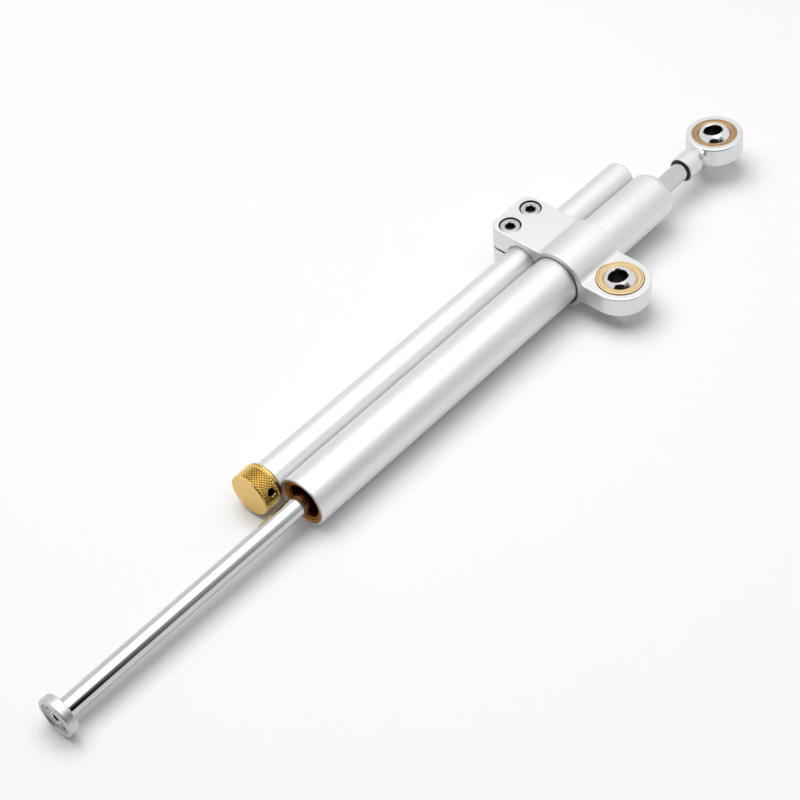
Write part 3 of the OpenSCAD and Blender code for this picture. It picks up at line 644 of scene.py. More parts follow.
def make_side_plug():
    """Cap with a rounded edge and a hexagon socket, and the spigot inside the tube."""
    cap_start, spigot_r = side_high[0] + FIT, SIDE_BORE_R - FIT
    plug = turned("side_plug_cap", rounded([
        (0, plug_high[0]), (SIDE_R, plug_high[0], PLUG_EDGE_R), (SIDE_R, cap_start, 0.03),
        (spigot_r, cap_start), (spigot_r, plug_low[0], 0.3), (0, plug_low[0]),
    ], support=0.02), ON_SIDE)
    floor = plug_high[0] - PLUG_KEY_L
    mouth = plug_high[0] + 0.01
    plug = cut(plug, cutter([
        (0, floor - PLUG_KEY_TIP), (PLUG_KEY_R, floor), (PLUG_KEY_R, mouth - 0.2),
        (PLUG_KEY_R + PLUG_KEY_BEVEL, mouth), (0, mouth),
    ], ON_SIDE, HEXAGON))
    dress(weigh_normals(plug), "barrel", "anodised_tube", "side_plug")


make_main_tube()
make_side_tube()
make_side_plug()


# Front gland

CUP_R = 6.8
CUP_MOUTH_R = CUP_R + 0.6
CUP_FLOOR = gland_low[0] + 7.9
SEAL_R = ROD_R + 2.2
POCKET_END = CUP_FLOOR + 6.1
GLAND_BORE_R = ROD_R + 1.0
GLAND_RIM = 1.0
GLAND_LINE_W = 0.3
GLAND_LINE_T = 0.6
GLAND_STEP = 0.3


def make_front_gland():
    """Outer ring, dark line, inner ring and the deep cup round the rod, as one turned piece."""
    radius = (gland_high[1] - gland_low[1]) / 2
    face, end = gland_low[0], gland_high[0]
    line = radius - GLAND_RIM
    inner = line - GLAND_LINE_W
    step = face + GLAND_STEP
    gland = turned("front_gland_turned", rounded_ring([
        (radius, end, 0.1), (radius, face, 0.28), (line, face, 0.12), (line, face + GLAND_LINE_T),
        (inner, face + GLAND_LINE_T), (inner, step, 0.1), (CUP_MOUTH_R, step, 0.25),
        (CUP_R, step + 1.2, 0.4), (CUP_R, CUP_FLOOR, 0.2), (SEAL_R, CUP_FLOOR, 0.1),
        (SEAL_R, POCKET_END), (GLAND_BORE_R, POCKET_END), (GLAND_BORE_R, end),
    ], support=0.02), ON_MAIN, closed=True)
    dress(gland, "barrel", "gold_gland", "front_gland")
    # Painted shade: the cup's inner faces take a dark brown colour
    shade(gland, PAINTED_CUP_SHADE, ON_MAIN, CUP_MOUTH_R + 0.02, step + 0.02, end + PAST)


make_front_gland()


# Rod with its end stop

STOP_RIM = 1.6
STOP_RECESS = 0.6
STOP_HOLE_R = (stop_screw_high[1] - stop_screw_low[1]) / 2 + FIT
STOP_WEB = 1.8
STOP_SEAT_L = 1.0
STOP_THREAD_R = 2.47
SPANNER_AT = 4.5
SPANNER_TURN = radians(36)
SPANNER_R = 0.7
SPANNER_BEVEL = 0.2
STOP_HEAD_L = 1.2
STOP_KEY_R = 1.75


def make_rod():
    """Plain rod with rounded ends, from the end stop to the rod end."""
    outline = rounded([
        (0, rod_low[0]), (ROD_R, rod_low[0], 0.3), (ROD_R, rod_high[0], 0.3), (0, rod_high[0]),
    ])
    rod = turned("rod_chromed", outline, ON_MAIN)
    dress(weigh_normals(rod), "rod", "hard_chrome", "rod")


def make_end_stop():
    """Disc with a rounded rim, a recess and two spanner holes in its floor."""
    radius = (stop_high[1] - stop_low[1]) / 2
    face, back = stop_low[0], stop_high[0]
    floor, web = face + STOP_RECESS, face + STOP_WEB
    stop = turned("end_stop_disc", rounded_ring([
        (STOP_HOLE_R, floor, 0.08), (radius - STOP_RIM - 0.3, floor, 0.25), (radius - STOP_RIM, face, 0.25),
        (radius, face, 0.55), (radius, back, 0.45), (ROD_R + FIT, back, 0.1),
        (ROD_R + FIT, back - STOP_SEAT_L), (STOP_THREAD_R, back - STOP_SEAT_L),
        (STOP_THREAD_R, web), (STOP_HOLE_R, web),
    ]), ON_MAIN, closed=True)
    mouth_r = SPANNER_R + SPANNER_BEVEL
    for side in (-1, 1):
        middle = Matrix.Rotation(SPANNER_TURN, 4, "Z") @ Matrix.Translation((0, side * SPANNER_AT * MM, 0))
        stop = cut(stop, cutter([
            (0, floor + 0.95), (SPANNER_R, floor + 0.7), (SPANNER_R, floor + 0.12), (mouth_r, floor - 0.1),
            (mouth_r, floor - PAST), (0, floor - PAST),
        ], ON_MAIN @ middle, PIN))
    dress(weigh_normals(stop), "rod", "anodised_block", "end_stop")
    shade(stop, STOP_GREY, ON_MAIN, radius + PAST, face - PAST, back + PAST)
    # Painted shade: the recess takes a darker grey than the rest of the disc
    shade(stop, PAINTED_RECESS_SHADE, ON_MAIN, radius - STOP_RIM - 0.02, face - PAST, floor + PAST)


def make_end_stop_screw():
    """Head with a rounded rim and a dished hexagon socket, and its thread inside the rod."""
    head_r, thread_r = STOP_HOLE_R - FIT, STOP_THREAD_R - FIT
    start, end = stop_screw_low[0], stop_screw_high[0]
    screw = turned("end_stop_screw_head", rounded([
        (0, start), (head_r, start, 0.35), (head_r, start + STOP_HEAD_L, 0.05),
        (thread_r, start + STOP_HEAD_L), (thread_r, end, 0.4), (0, end),
    ]), ON_MAIN, SMALL)
    socket = cutter([
        (0, start - PAST), (STOP_KEY_R, start - PAST), (STOP_KEY_R, start + 2), (0, start + 2.5),
    ], ON_MAIN, HEXAGON)
    dish = cutter([
        (0, start - 0.2), (STOP_KEY_R + 0.35, start - 0.2), (STOP_KEY_R - 0.2, start + 0.3), (0, start + 0.3),
    ], ON_MAIN)
    dress(weigh_normals(cut(screw, socket, dish)), "rod", "screw_steel", "end_stop_screw")
    # Painted shade: the socket's faces take a near-black colour
    shade(screw, PAINTED_HOLE_SHADE, ON_MAIN, STOP_KEY_R + 0.1, start + 0.25, start + 3)


def make_bump_ring():
    """Rubber ring in the shank's front face."""
    radius = (bump_high[1] - bump_low[1]) / 2
    ring = turned("bump_ring_rubber", rounded_ring([
        (ROD_R + FIT, bump_low[0], 0.15), (radius, bump_low[0], 0.25),
        (radius, bump_high[0]), (ROD_R + FIT, bump_high[0]),
    ]), ON_MAIN, SMALL, closed=True)
    dress(ring, "rod", "bump_rubber", "bump_ring")


make_rod()
make_end_stop()
make_end_stop_screw()
make_bump_ring()


# Rod end

EYE_R = eye_high[0] - EYE.x
EYE_HALF = 4.5
EYE_EDGE = 0.9
SHANK_FACE = eye_low[0] - EYE.x
SHANK_R = 5.5
SHANK_GRIP = 10.0
BUMP_SEAT_R = 5.02
BUMP_SEAT_L = 1.52
NECK_START = -EYE_R - 5.0
NECK_R = 4.25
NECK_FLARE = 1.9
NECK_END = -EYE_R + 1.4
NECK_END_R = 3.0


def make_rod_end():
    """Eye ring with rounded edges, and the shank whose neck flares into the eye's wall.

    The neck narrows from the shank to the eye by a smooth step. Its last stretch leaves the straight line
    for the eye's wall: at each angle round the shank it is a quadratic curve with its ends on the neck and
    on the wall, and its middle control point where the two meet. Near the top and bottom the curve stays
    short, so that it ends on the eye's rounded edge.
    """
    place = along(EYE, EYE_AXIS)
    seat = RACE_R + BORE_GAP
    ring = turned("eye_ring", rounded_ring([
        (seat, -EYE_HALF, 0.12), (EYE_R, -EYE_HALF, EYE_EDGE),
        (EYE_R, EYE_HALF, EYE_EDGE), (seat, EYE_HALF, 0.12),
    ]), place, LARGE, closed=True)

    angle = np.linspace(0, 2 * pi, 160, endpoint=False)[:, None]

    def wall_x(radius):
        """Where a circle of this radius round the shank meets the eye's rounded wall."""
        y, z = radius * np.cos(angle), np.abs(radius * np.sin(angle))
        over = np.clip(z - (EYE_HALF - EYE_EDGE), 0, EYE_EDGE)
        wall = EYE_R - EYE_EDGE + np.sqrt(EYE_EDGE ** 2 - over ** 2)
        return -np.sqrt(wall ** 2 - y ** 2)

    inside = rounded([
        (0, SHANK_FACE + SHANK_GRIP + PAST), (ROD_R + FIT, SHANK_FACE + SHANK_GRIP),
        (ROD_R + FIT, SHANK_FACE + BUMP_SEAT_L), (BUMP_SEAT_R, SHANK_FACE + BUMP_SEAT_L),
        (BUMP_SEAT_R, SHANK_FACE, 0.1), (SHANK_R, SHANK_FACE, 0.3), (SHANK_R, SHANK_FACE + 2),
    ], support=0.03)
    way = np.linspace(0, 1, 25)
    step = way * way * (3 - 2 * way)
    room = (EYE_HALF - 0.15) / np.maximum(np.abs(np.sin(angle)), 0.1) - NECK_R
    lift = np.clip(room, 0.1, NECK_FLARE)
    meeting, landing = wall_x(NECK_R), wall_x(NECK_R + lift) + FIT
    neck_x = NECK_START + way * (meeting - lift - NECK_START)
    neck_r = np.broadcast_to(SHANK_R + step * (NECK_R - SHANK_R), neck_x.shape)
    turn = np.linspace(0, 1, 13)[1:]
    flare_x = (1 - turn) ** 2 * (meeting - lift) + 2 * turn * (1 - turn) * meeting + turn ** 2 * landing
    flare_r = (1 - turn ** 2) * NECK_R + turn ** 2 * (NECK_R + lift)
    spread = np.ones_like(angle)
    x = np.concatenate([spread * inside[:, 1], neck_x, flare_x, spread * NECK_END, spread * NECK_END], 1)
    r = np.concatenate([spread * inside[:, 0], neck_r, flare_r, spread * NECK_END_R, spread * 0], 1)
    # In the piece's own axes Z is the eye's axis and X runs along the shank
    points = np.stack([x, r * np.cos(angle), r * np.sin(angle)], -1)
    shank = mesh_object("shank", points, grid_faces(*x.shape), place)
    dress(weigh_normals(joined("rod_end_eye", [ring, shank])), "rod", "anodised_block", "rod_end")


make_rod_end()


# Spherical bearings

RACE_BEVEL = 0.35
RACE_LIP = 0.7
STAKE_R = RACE_R - 0.9
STAKE_W = 0.35
STAKE_T = 0.3
BALL_BEVEL = 0.45


def make_race(name, node, body, middle, axis, half):
    """Ring with a staking groove in each face and an inside that follows the ball.

    The inside's radius at the height z is the root of the ball's radius squared less z squared.
    """
    place = along(middle, axis)
    sphere_r = BALL_R + BORE_GAP
    depth = np.linspace(-half + RACE_LIP * 0.8, half - RACE_LIP * 0.8, 25)
    inside = np.stack([np.sqrt(sphere_r ** 2 - depth ** 2), depth], -1)
    lip = inside[-1][0] + RACE_LIP
    upper = rounded([
        tuple(inside[-1]), (lip, half, 0.1), (STAKE_R - STAKE_W / 2, half, 0.05),
        (STAKE_R, half - STAKE_T, 0.05), (STAKE_R + STAKE_W / 2, half, 0.05), (RACE_R, half, RACE_BEVEL),
        (RACE_R, 0),
    ], support=0.015)
    lower = upper[::-1][1:] * (1, -1)
    race = turned(name, np.concatenate([inside[1:-1], upper, lower]), place, closed=True)
    dress(race, body, "bronze", node)
    return race


def make_ball(name, node, body, middle, axis):
    """Sphere with two flats and a bevelled bore: its outside is an arc between the flats' edges."""
    place = along(middle, axis)
    flat_r = sqrt(BALL_R ** 2 - BALL_HALF ** 2)
    reach = np.arcsin(BALL_HALF / BALL_R)
    arc = np.linspace(reach, -reach, 49)[1:-1]
    outside = np.stack([BALL_R * np.cos(arc), BALL_R * np.sin(arc)], -1)
    top = rounded([
        (BOLT_R, 0), (BOLT_R, BALL_HALF - BALL_BEVEL, 0.1), (BOLT_R + BALL_BEVEL, BALL_HALF, 0.1),
        (flat_r, BALL_HALF, 0.06), tuple(outside[0]),
    ], support=0.02)
    outline = np.concatenate([top[:-1], outside, top[::-1][1:-1] * (1, -1)])
    ball = turned(name, outline, place, closed=True)
    dress(ball, body, "ball_chrome", node)
    # Painted shade: the bore's faces take a near-black colour
    shade(ball, PAINTED_HOLE_SHADE, place, BOLT_R + 0.05, -BALL_HALF, BALL_HALF)


eye_race = make_race("rod_end_race_ring", "rod_end_race", "rod_end_race", EYE, EYE_AXIS, EYE_HALF)
shade(eye_race, BROWN_BRONZE, along(EYE, EYE_AXIS), RACE_R + PAST, -EYE_HALF - PAST, EYE_HALF + PAST)
make_race("clamp_race_ring", "clamp_race", "clamp_race", (0, 0, 0), (0, 0, 1), 5.0)
make_ball("rod_end_ball_turned", "rod_end_ball", "rod_end_ball", EYE, EYE_BALL_AXIS)
make_ball("clamp_ball_turned", "clamp_ball", "clamp_ball", (0, 0, 0), CLAMP_BALL_AXIS)


# Clamp bracket

HALF_W = bracket_high[0]
ARCH_R = -bracket_low[2]
PLATE_Z = 10.0
BOSS_HALF = 4.5
LUG_Y = bracket_high[1]
LUG_CORNER = 5.0
FILLET_R = 3.0
EDGE_R = 0.6
BORE_MOUTH = 0.6
BOSS_MOUTH = 0.2
SLIT_W = 1.2
WEB_W = 3.0
WEB_H = 5.0

# A wider mouth on the front side of the main bore, a little off its axis: it shows as the shadow line there, and
# its faces are also given painted shade
RELIEF = 0.5
RELIEF_L = 2
RELIEF_OFF = 0.18

SCREW_Y = ((screws_low + screws_high) / 2)[1]
SCREW_HEAD_R = 4.25
SCREW_X = (screws_high[0] - screws_low[0]) / 2 - SCREW_HEAD_R
SCREW_HEAD_Z = screws_high[2]
SCREW_SEAT_Z = PLATE_Z - 5.4
SCREW_R = 2.5
SCREW_KEY_R = 2.3
SCREW_KEY_TURNS = {-1: -8, 1: 32}
COUNTERBORE_R = SCREW_HEAD_R + 0.35

# Points along the bracket's profile and round its plan
BOSS_STEPS = 8
FOOT_STEPS = 14
ARCH_STEPS = 50
PLATE_FOOT_STEPS = 12
PLATE_STEPS = 10
UNDERSIDE_STEPS = 15
BOSS_TURNS = 28
LUG_TURNS = 12
LUG_STEPS = 8
EDGE_TURNS = 7
FACE_SHARES = (0.0, 0.5, 0.9, 0.985)


def arc_run(middle, radius, start, end, count):
    """Arc in the YZ plane and its outward normals; a negative radius is a hollow corner."""
    turn = np.radians(np.linspace(start, end, count))
    ray = np.stack([np.cos(turn), np.sin(turn)], -1)
    return np.array(middle) + abs(radius) * ray, np.sign(radius) * ray


def flat_run(start, end, height, count):
    """Flat stretch in the YZ plane, with its normals upwards."""
    y = np.linspace(start, end, count)
    return np.stack([y, np.full(count, height)], -1), np.tile([0.0, 1.0], (count, 1))


def foot(height, side):
    """Where the hollow corner over a face of this height touches it, and at which angle it meets the arch."""
    y = MAIN_Y + side * sqrt((ARCH_R + FILLET_R) ** 2 - (height + FILLET_R) ** 2)
    return y, np.degrees(np.arctan2(height + FILLET_R, y - MAIN_Y))


BOSS_FOOT_Y, BOSS_FOOT_TURN = foot(BOSS_HALF, -1)
PLATE_FOOT_Y, PLATE_FOOT_TURN = foot(PLATE_Z, 1)
BOSS_RUNS = [
    flat_run(0, BOSS_FOOT_Y, BOSS_HALF, BOSS_STEPS),
    arc_run((BOSS_FOOT_Y, BOSS_HALF + FILLET_R), -FILLET_R, 270, 180 + BOSS_FOOT_TURN, FOOT_STEPS),
]


def end_to_end(runs):
    """Points and normals of runs that share their end points."""
    return [np.concatenate([run[part][1 if index else 0:] for index, run in enumerate(runs)])
            for part in (0, 1)]


def upper_line():
    """From the boss, through a hollow corner, over the arch, through a hollow corner, along the plate."""
    return end_to_end(BOSS_RUNS + [
        arc_run((MAIN_Y, 0), ARCH_R, BOSS_FOOT_TURN, PLATE_FOOT_TURN, ARCH_STEPS),
        arc_run((PLATE_FOOT_Y, PLATE_Z + FILLET_R), -FILLET_R, 180 + PLATE_FOOT_TURN, 270,
                PLATE_FOOT_STEPS),
        flat_run(PLATE_FOOT_Y, LUG_Y - LUG_CORNER, PLATE_Z, PLATE_STEPS),
    ])


def lower_line(count):
    """From the boss, through a hollow corner, down the arch and along the flat underside, upside down."""
    shared = 3
    arch_steps = count - BOSS_STEPS - FOOT_STEPS - UNDERSIDE_STEPS + shared
    return end_to_end(BOSS_RUNS + [
        arc_run((MAIN_Y, 0), ARCH_R, BOSS_FOOT_TURN, 90, arch_steps),
        flat_run(MAIN_Y, LUG_Y - LUG_CORNER, ARCH_R, UNDERSIDE_STEPS),
    ])


def plan_rows(line, normal, end_height):
    """Rows for the half with x above 0: plan point, plan direction, height, normal's Y, middle line's Y."""
    turn = np.radians(np.linspace(270, 360, BOSS_TURNS)[:-1])
    still = np.zeros_like(turn)
    boss = [HALF_W * np.cos(turn), HALF_W * np.sin(turn), np.cos(turn), np.sin(turn),
            still + BOSS_HALF, still, still]
    y, z = line.T
    side = [np.full_like(y, HALF_W), y, np.ones_like(y), np.zeros_like(y), z, normal[:, 0], y]
    turn = np.radians(np.linspace(0, 90, LUG_TURNS)[1:])
    still = np.zeros_like(turn)
    corner = [HALF_W - LUG_CORNER * (1 - np.cos(turn)), LUG_Y - LUG_CORNER * (1 - np.sin(turn)),
              np.cos(turn), np.sin(turn), still + end_height, still, still + LUG_Y - LUG_CORNER]
    x = np.linspace(HALF_W - LUG_CORNER, 0, LUG_STEPS)[1:]
    still = np.zeros_like(x)
    end = [x, still + LUG_Y, still, still + 1, still + end_height, still, still + LUG_Y - LUG_CORNER]
    return np.concatenate([np.stack(run) for run in (boss, side, corner, end)], 1)


def face_columns(rows, side):
    """Points from the middle line over the upper (side 1) or lower (side -1) face and round its edge."""
    x, y, dx, dy, z, ny, middle_y = rows
    nz = np.sqrt(1 - ny ** 2)
    columns = []
    for share in FACE_SHARES:
        over = middle_y + share * (y - dy * EDGE_R - middle_y)
        columns.append((share * (x - dx * EDGE_R), over, side * z))
    for turn in np.radians(np.linspace(0, 90, EDGE_TURNS)):
        out, down = EDGE_R * (1 - sin(turn)), EDGE_R * (1 - cos(turn))
        columns.append((x - dx * out, y - dy * out - ny * down, side * (z - nz * down)))
    return [np.stack(column, -1) for column in columns]


def block(low_corner, high_corner):
    """Plain box used for a cut."""
    corners = np.array([[x, y, z] for x in (low_corner[0], high_corner[0])
                        for y in (low_corner[1], high_corner[1]) for z in (low_corner[2], high_corner[2])])
    faces = [[0, 1, 3, 2], [4, 6, 7, 5], [0, 4, 5, 1], [2, 3, 7, 6], [0, 2, 6, 4], [1, 5, 7, 3]]
    return mesh_object("block", corners, faces)


def mouthed_bore(radius, half, bevel, place):
    """Cutter for a through hole with bevelled mouths, from minus half to half."""
    wide = radius + bevel
    return cutter([
        (0, -half - PAST), (wide, -half - PAST), (wide, -half), (radius, -half + bevel),
        (radius, half - bevel), (wide, half), (wide, half + PAST), (0, half + PAST),
    ], place, USUAL)


def screw_place(side):
    """The axis of the screw on one side, straight up."""
    return Matrix.Translation(Vector((side * SCREW_X, SCREW_Y, 0)) * MM)


def screw_hole(side):
    """Cutter for a thread hole, a clearance hole and a counterbore with a bevelled mouth."""
    tip_z, thread_r, shank_r = screws_low[2] - 0.4, SCREW_R + FIT, SCREW_R + 0.25
    return cutter([
        (0, tip_z), (thread_r, tip_z), (thread_r, 0), (shank_r, 0), (shank_r, SCREW_SEAT_Z),
        (COUNTERBORE_R, SCREW_SEAT_Z), (COUNTERBORE_R, PLATE_Z - 0.15),
        (COUNTERBORE_R + 1.15, PLATE_Z + PAST), (0, PLATE_Z + PAST),
    ], screw_place(side), SMALL)


def make_bracket():
    """The bracket's skin as rows round its plan, then the bores, slit and screw seats cut from it.

    The plan is a half circle round the boss, two straight sides and a lug end with round corners. A row
    leads from the middle line over the upper face, round its edge on a quarter circle from the profile's
    normal to the plan's direction, down the wall, round the lower edge and back to the middle line.
    """
    upper = upper_line()
    lower = lower_line(len(upper[0]))
    columns = face_columns(plan_rows(*upper, PLATE_Z), 1)
    columns += face_columns(plan_rows(*lower, ARCH_R), -1)[::-1]
    half = np.stack(columns, 1)
    points = np.concatenate([half, half[::-1] * (-1, 1, 1)])
    skin = mesh_object("clamp_bracket_milled", points, grid_faces(*points.shape[:2]), merge=2e-6)
    boss = Matrix.Identity(4)
    web_y = MAIN_Y + TUBE_R
    relief = along_x((0, MAIN_Y - RELIEF_OFF, -RELIEF_OFF))
    relief_r = TUBE_R + RELIEF
    side_reach = 20
    dress(weigh_normals(cut(
        skin,
        mouthed_bore(TUBE_R + BORE_GAP, HALF_W, BORE_MOUTH, ON_MAIN),
        cutter([(0, -HALF_W - PAST), (relief_r, -HALF_W - PAST), (relief_r, RELIEF_L - HALF_W),
                (0, RELIEF_L - HALF_W)], relief, USUAL),
        mouthed_bore(SIDE_R + BORE_GAP, HALF_W, BORE_MOUTH, ON_SIDE),
        mouthed_bore(RACE_R + BORE_GAP, BOSS_HALF, BOSS_MOUTH, boss),
        block((-side_reach, web_y - WEB_W / 2, -WEB_H / 2), (side_reach, web_y + WEB_W / 2, WEB_H / 2)),
        block((-side_reach, SIDE_Y, -SLIT_W / 2), (side_reach, LUG_Y + 5, SLIT_W / 2)),
        screw_hole(-1), screw_hole(1),
    )), "clamp", "anodised_block", "clamp_bracket")
    # Painted shade: near-black colour in the main bore's relief, the thin gap round the race, the side bore and
    # the counterbores
    shade(skin, PAINTED_HOLE_SHADE, relief, relief_r + 0.02, -HALF_W + 0.35, HALF_W - 0.7)
    shade(skin, PAINTED_HOLE_SHADE, boss, RACE_R + BORE_GAP + 0.15, -BOSS_HALF, BOSS_HALF)
    shade(skin, PAINTED_HOLE_SHADE, ON_SIDE, SIDE_R + BORE_GAP + 0.02, -HALF_W + 0.6, HALF_W - 0.7)
    for side in (-1, 1):
        shade(skin, PAINTED_HOLE_SHADE, screw_place(side), COUNTERBORE_R + 0.02, SCREW_SEAT_Z - 1, PLATE_Z - 0.3)


def make_clamp_screws():
    """Socket screws: a head with a rounded rim, a turned dish round the hexagon, and the thread below."""
    screws = []
    top, seat = SCREW_HEAD_Z, SCREW_SEAT_Z + FIT
    for side in (-1, 1):
        place = screw_place(side)
        head = turned("screw", rounded([
            (0, top), (SCREW_HEAD_R, top, 0.55), (SCREW_HEAD_R, seat, 0.1),
            (SCREW_R, seat), (SCREW_R, screws_low[2], 0.4), (0, screws_low[2]),
        ], support=0.03), place, SMALL)
        socket = cutter([
            (0, top - 3.1), (SCREW_KEY_R, top - 2.6), (SCREW_KEY_R, top + PAST), (0, top + PAST),
        ], place, HEXAGON, radians(SCREW_KEY_TURNS[side]))
        dish = cutter([
            (0, top - 0.4), (SCREW_KEY_R - 0.25, top - 0.4), (SCREW_KEY_R + 0.3, top + 0.1), (0, top + 0.1),
        ], place)
        screws.append(cut(head, socket, dish))
    pair = joined("clamp_screw_pair", screws)
    dress(weigh_normals(pair), "clamp", "screw_steel", "clamp_screws")
    # Painted shade: the sockets' faces take a near-black colour
    for side in (-1, 1):
        shade(pair, PAINTED_HOLE_SHADE, screw_place(side), SCREW_KEY_R + 0.05, top - 4, top - 0.42)


make_bracket()
make_clamp_screws()


# Knob

KNOB_FACE, KNOB_BACK = knob_low[0], knob_high[0]
KNURL_ROUND = 40
KNURL_ALONG = 1.3
KNURL_STEPS = 14
KNURL_SLOPE = 2.8
KNURL_FADE = 0.25
KNURL_SHARP = 25
KNURL_END_GAP = 0.35
KNOB_RING_L = 1.2
KNOB_RING_INSET = 0.3
KNOB_GROOVE = 0.75
FACE_LAND = 0.45
GRUB_TURN = radians(156)
GRUB_R = 1.5
GRUB_START = 2.02
GRUB_END = 6.02
GRUB_KEY_R = 0.87
GRUB_PLACE = along((-165.15, SIDE_Y, 0), (0, cos(GRUB_TURN), sin(GRUB_TURN)))


def make_knob():
    """Knurled cylinder: two families of V grooves wind round it in opposite senses.

    With p the place round the rim and q the place along it, both in pitches, the grooves lie where p + q
    and p - q are whole numbers. The land's height is the smaller of the two distances from a groove,
    capped flat.
    """
    knurl_start = KNOB_FACE + FACE_LAND
    ring_start = KNOB_BACK - KNOB_RING_L
    rows = int((ring_start - KNURL_END_GAP - knurl_start) / KNURL_ALONG * KNURL_STEPS)
    knurl_end = knurl_start + rows * KNURL_ALONG / KNURL_STEPS

    def knurl(angle, station):
        """How far the knurl cuts into the radius."""
        place_round = angle / (2 * pi) * KNURL_ROUND
        place_along = (station - knurl_start) / KNURL_ALONG
        height = np.ones(np.broadcast_shapes(angle.shape, station.shape))
        for groove in (place_round + place_along, place_round - place_along):
            height = np.minimum(height, KNURL_SLOPE * np.abs(groove - np.round(groove)))
        fade = np.clip(np.minimum(station - knurl_start, knurl_end - station) / KNURL_FADE, 0, 1)
        return -KNURL_DEPTH * (1 - height) * fade

    front = rounded([(0, KNOB_FACE), (KNOB_R - 0.25, KNOB_FACE, 0.18), (KNOB_R, knurl_start)], support=0.03)
    wall = np.stack([np.full(rows + 1, KNOB_R), np.linspace(knurl_start, knurl_end, rows + 1)], -1)
    ring_r = KNOB_R - KNOB_RING_INSET
    groove_r = KNOB_R - KNOB_GROOVE
    back = rounded([
        (KNOB_R, knurl_end), (KNOB_R, knurl_end + 0.12), (groove_r, knurl_end + 0.2),
        (groove_r, ring_start), (ring_r, ring_start + 0.05, 0.1),
        (ring_r, KNOB_BACK, 0.25), (0, KNOB_BACK),
    ], support=0.02)
    outline = np.concatenate([front[:-1], wall, back[1:]])
    knob = turned("knob_knurled", outline, ON_SIDE, KNURL_ROUND * KNURL_STEPS, relief=knurl)
    hole_r, mouth_r = GRUB_R + FIT, GRUB_R + 0.55
    knob = cut(knob, cutter([
        (0, 2), (hole_r, 2), (hole_r, KNOB_R - 0.5), (mouth_r, KNOB_R + 0.1),
        (mouth_r, KNOB_R + 2), (0, KNOB_R + 2),
    ], GRUB_PLACE, TINY), angle=KNURL_SHARP)
    dress(knob, "knob", "gold_knob", "knob")
    # Painted shade: the grub hole's wall takes a near-black colour
    shade(knob, PAINTED_HOLE_SHADE, GRUB_PLACE, GRUB_R + 0.1, 1, KNOB_R - 0.3)


def make_grub_screw():
    """Grub screw deep in the knob's hole, with a coned tip and a hexagon socket."""
    grub = turned("grub_screw", rounded([
        (0, GRUB_START), (1.1, GRUB_START), (GRUB_R, 2.5), (GRUB_R, GRUB_END, 0.2), (0, GRUB_END),
    ]), GRUB_PLACE, TINY)
    mouth = GRUB_END + 0.08
    grub = cut(grub, cutter([(0, 4.2), (GRUB_KEY_R, 4.5), (GRUB_KEY_R, mouth), (0, mouth)], GRUB_PLACE,
                           HEXAGON))
    dress(grub, "knob", "screw_steel", "knob_grub_screw")
    # Painted shade: the whole screw takes a near-black colour, deep in its hole
    shade(grub, PAINTED_HOLE_SHADE, GRUB_PLACE, GRUB_R + PAST, 0, 7)


make_knob()
make_grub_screw()


# Floor, cards, lamps and world, in metres

PAPER = (0.88, 0.88, 0.885)
PAPER_ROUGHNESS = 0.6
FLOOR_RINGS = (0.0, 0.3, 1.0, 2.5, 6.0)
FLOOR_SEGMENTS = 96
DARK_CARD_Y = -1.2
DARK_CARD_X = (-1.8, 1.3)
DARK_CARD_Z = (-0.02, 1.9)
DARK_CARD_POINTS = 9
DARK_CARD_RISE = (0.6, 1.85)
DARK_CARD_RISE_POWER = 1.5
DARK_CARD_FADE = (0.10, 0.65)
DARK_CARD_TONES = ((0.004, 0.004, 0.005), (1.0, 1.0, 1.0))
FRONT_CARD_PLACE = (-0.80, -0.80)
FRONT_CARD_WIDTH = 2.6
FRONT_CARD_TOP = 1.75

# A lamp's name, place, aim, size, power in watts, and whether metal mirrors it
LAMPS = (
    ("overhead_softbox", (0.075, 0.02, 1.0), (0.075, 0.02, 0), (0.85, 1.34), 5.5, True),
    ("key_lamp", (-0.15, 0.45, 1.4), (-0.08, 0, 0), (1.2, 1.2), 11, False),
)

# Colours of the world: what metal mirrors, what lights the object, and what the camera sees
ROOM_BRIGHT = (0.95, 0.95, 0.955)
ROOM_DIM = (0.40, 0.40, 0.405)
DIM_SIDE = (-0.72, -0.60, -0.35)
DIM_FADE = (0.35, 0.95)
FILL = (0.32, 0.32, 0.325, 1)
BACKDROP = (0.93, 0.93, 0.935, 1)


def make_floor():
    """Disc that touches the clamp's underside and the mouth's lowest edge."""
    rise = (tube_low[2] - bracket_low[2]) / (bracket_low[0] - tube_low[0])
    angle = np.linspace(0, 2 * pi, FLOOR_SEGMENTS, endpoint=False)[:, None]
    radius = np.array(FLOOR_RINGS)[None, :] / MM
    x, y = radius * np.cos(angle), radius * np.sin(angle)
    z = bracket_low[2] - rise * (x - bracket_low[0]) - FIT
    floor = mesh_object("floor", np.stack([x, y, z], -1), grid_faces(FLOOR_SEGMENTS, len(FLOOR_RINGS)))
    material, _, shader, _ = new_material("floor_paper", PAPER, metallic=0.0)
    shader.inputs["Roughness"].default_value = PAPER_ROUGHNESS
    floor.data.materials.append(material)


def hide_card(card, material):
    """Leaves a card to be seen only in reflections."""
    card.data.materials.append(material)
    for ray in ("camera", "diffuse", "transmission", "shadow"):
        setattr(card, f"visible_{ray}", False)


def make_front_card():
    """Dark upright card behind the camera, which the balls' rims mirror."""
    x, y = FRONT_CARD_PLACE
    half = FRONT_CARD_WIDTH / 2 * sqrt(0.5)
    corners = np.array([[x - half, y + half, 0], [x + half, y - half, 0],
                        [x + half, y - half, FRONT_CARD_TOP], [x - half, y + half, FRONT_CARD_TOP]])
    card = mesh_object("front_card", corners / MM, [[0, 1, 2, 3]])
    hide_card(card, new_material("front_card", (0.01, 0.01, 0.01), metallic=0.0, specular=0.0)[0])


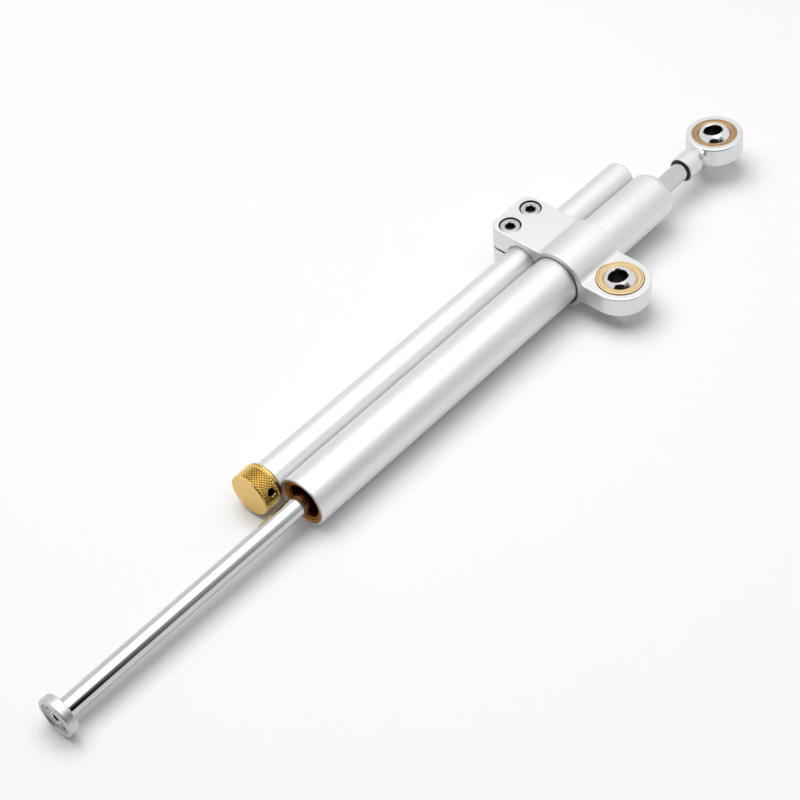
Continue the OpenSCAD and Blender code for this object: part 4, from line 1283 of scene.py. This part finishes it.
def make_dark_card():
    """Dark side of the room, seen only in reflections: it gives the chrome its black band.

    It is darkest low down, and grows lighter towards its top and towards its right end.
    """
    x, z = np.meshgrid(*(np.linspace(*reach, DARK_CARD_POINTS) for reach in (DARK_CARD_X, DARK_CARD_Z)))
    card = mesh_object("dark_card", np.stack([x, np.full_like(x, DARK_CARD_Y), z], -1) / MM,
                       grid_faces(DARK_CARD_POINTS, DARK_CARD_POINTS, wrap_rows=False))
    material = bpy.data.materials.new("dark_card")
    material.use_nodes = True
    tree = material.node_tree
    tree.nodes.remove(tree.nodes["Principled BSDF"])
    place = tree.nodes.new("ShaderNodeTexCoord").outputs["Object"]
    parts = add(tree, "ShaderNodeSeparateXYZ", None, {0: place}).outputs
    height = ranged(tree, parts["Z"], 0, 1, *DARK_CARD_RISE)
    rising = add(tree, "ShaderNodeMath", {1: DARK_CARD_RISE_POWER}, {0: height}, operation="POWER")
    fading = ranged(tree, parts["X"], 0, 1, *DARK_CARD_FADE)
    light = add(tree, "ShaderNodeMath", None, {0: rising.outputs[0], 1: fading}, operation="MAXIMUM")
    glow = add(tree, "ShaderNodeEmission", None,
               {"Color": blended(tree, light.outputs[0], *DARK_CARD_TONES)})
    tree.links.new(glow.outputs[0], tree.nodes["Material Output"].inputs["Surface"])
    hide_card(card, material)


def make_lamp(name, place, aim, size, power, mirrored):
    """Soft rectangular lamp that faces its aim."""
    data = bpy.data.lights.new(name, "AREA")
    data.shape = "RECTANGLE"
    data.size, data.size_y = size
    data.energy = power
    lamp = bpy.data.objects.new(name, data)
    lamp.visible_glossy = mirrored
    lamp.location = place
    lamp.rotation_euler = (Vector(aim) - Vector(place)).to_track_quat("-Z", "Y").to_euler()
    bpy.context.scene.collection.objects.link(lamp)


def make_world():
    """Room light. Reflections see it dimmer low down on the camera's side, and the camera a pale backdrop."""
    world = bpy.data.worlds.new("studio")
    bpy.context.scene.world = world
    world.use_nodes = True
    tree = world.node_tree
    aim = tree.nodes.new("ShaderNodeTexCoord").outputs["Generated"]
    toward = add(tree, "ShaderNodeVectorMath", {1: DIM_SIDE}, {0: aim}, operation="DOT_PRODUCT")
    dim = ranged(tree, toward.outputs["Value"], 0, 1, *DIM_FADE)
    room = tree.nodes["Background"]
    tree.links.new(blended(tree, dim, ROOM_BRIGHT, ROOM_DIM), room.inputs["Color"])
    fill = add(tree, "ShaderNodeBackground", {"Color": FILL})
    backdrop = add(tree, "ShaderNodeBackground", {"Color": BACKDROP})
    ray = tree.nodes.new("ShaderNodeLightPath").outputs
    mirrored = add(tree, "ShaderNodeMixShader", None,
                   {0: ray["Is Glossy Ray"], 1: fill.outputs[0], 2: room.outputs[0]})
    seen = add(tree, "ShaderNodeMixShader", None,
               {0: ray["Is Camera Ray"], 1: mirrored.outputs[0], 2: backdrop.outputs[0]})
    tree.links.new(seen.outputs[0], tree.nodes["World Output"].inputs["Surface"])


make_floor()
make_dark_card()
make_front_card()
for lamp in LAMPS:
    make_lamp(*lamp)
make_world()
bpy.context.scene.view_settings.view_transform = "Standard"
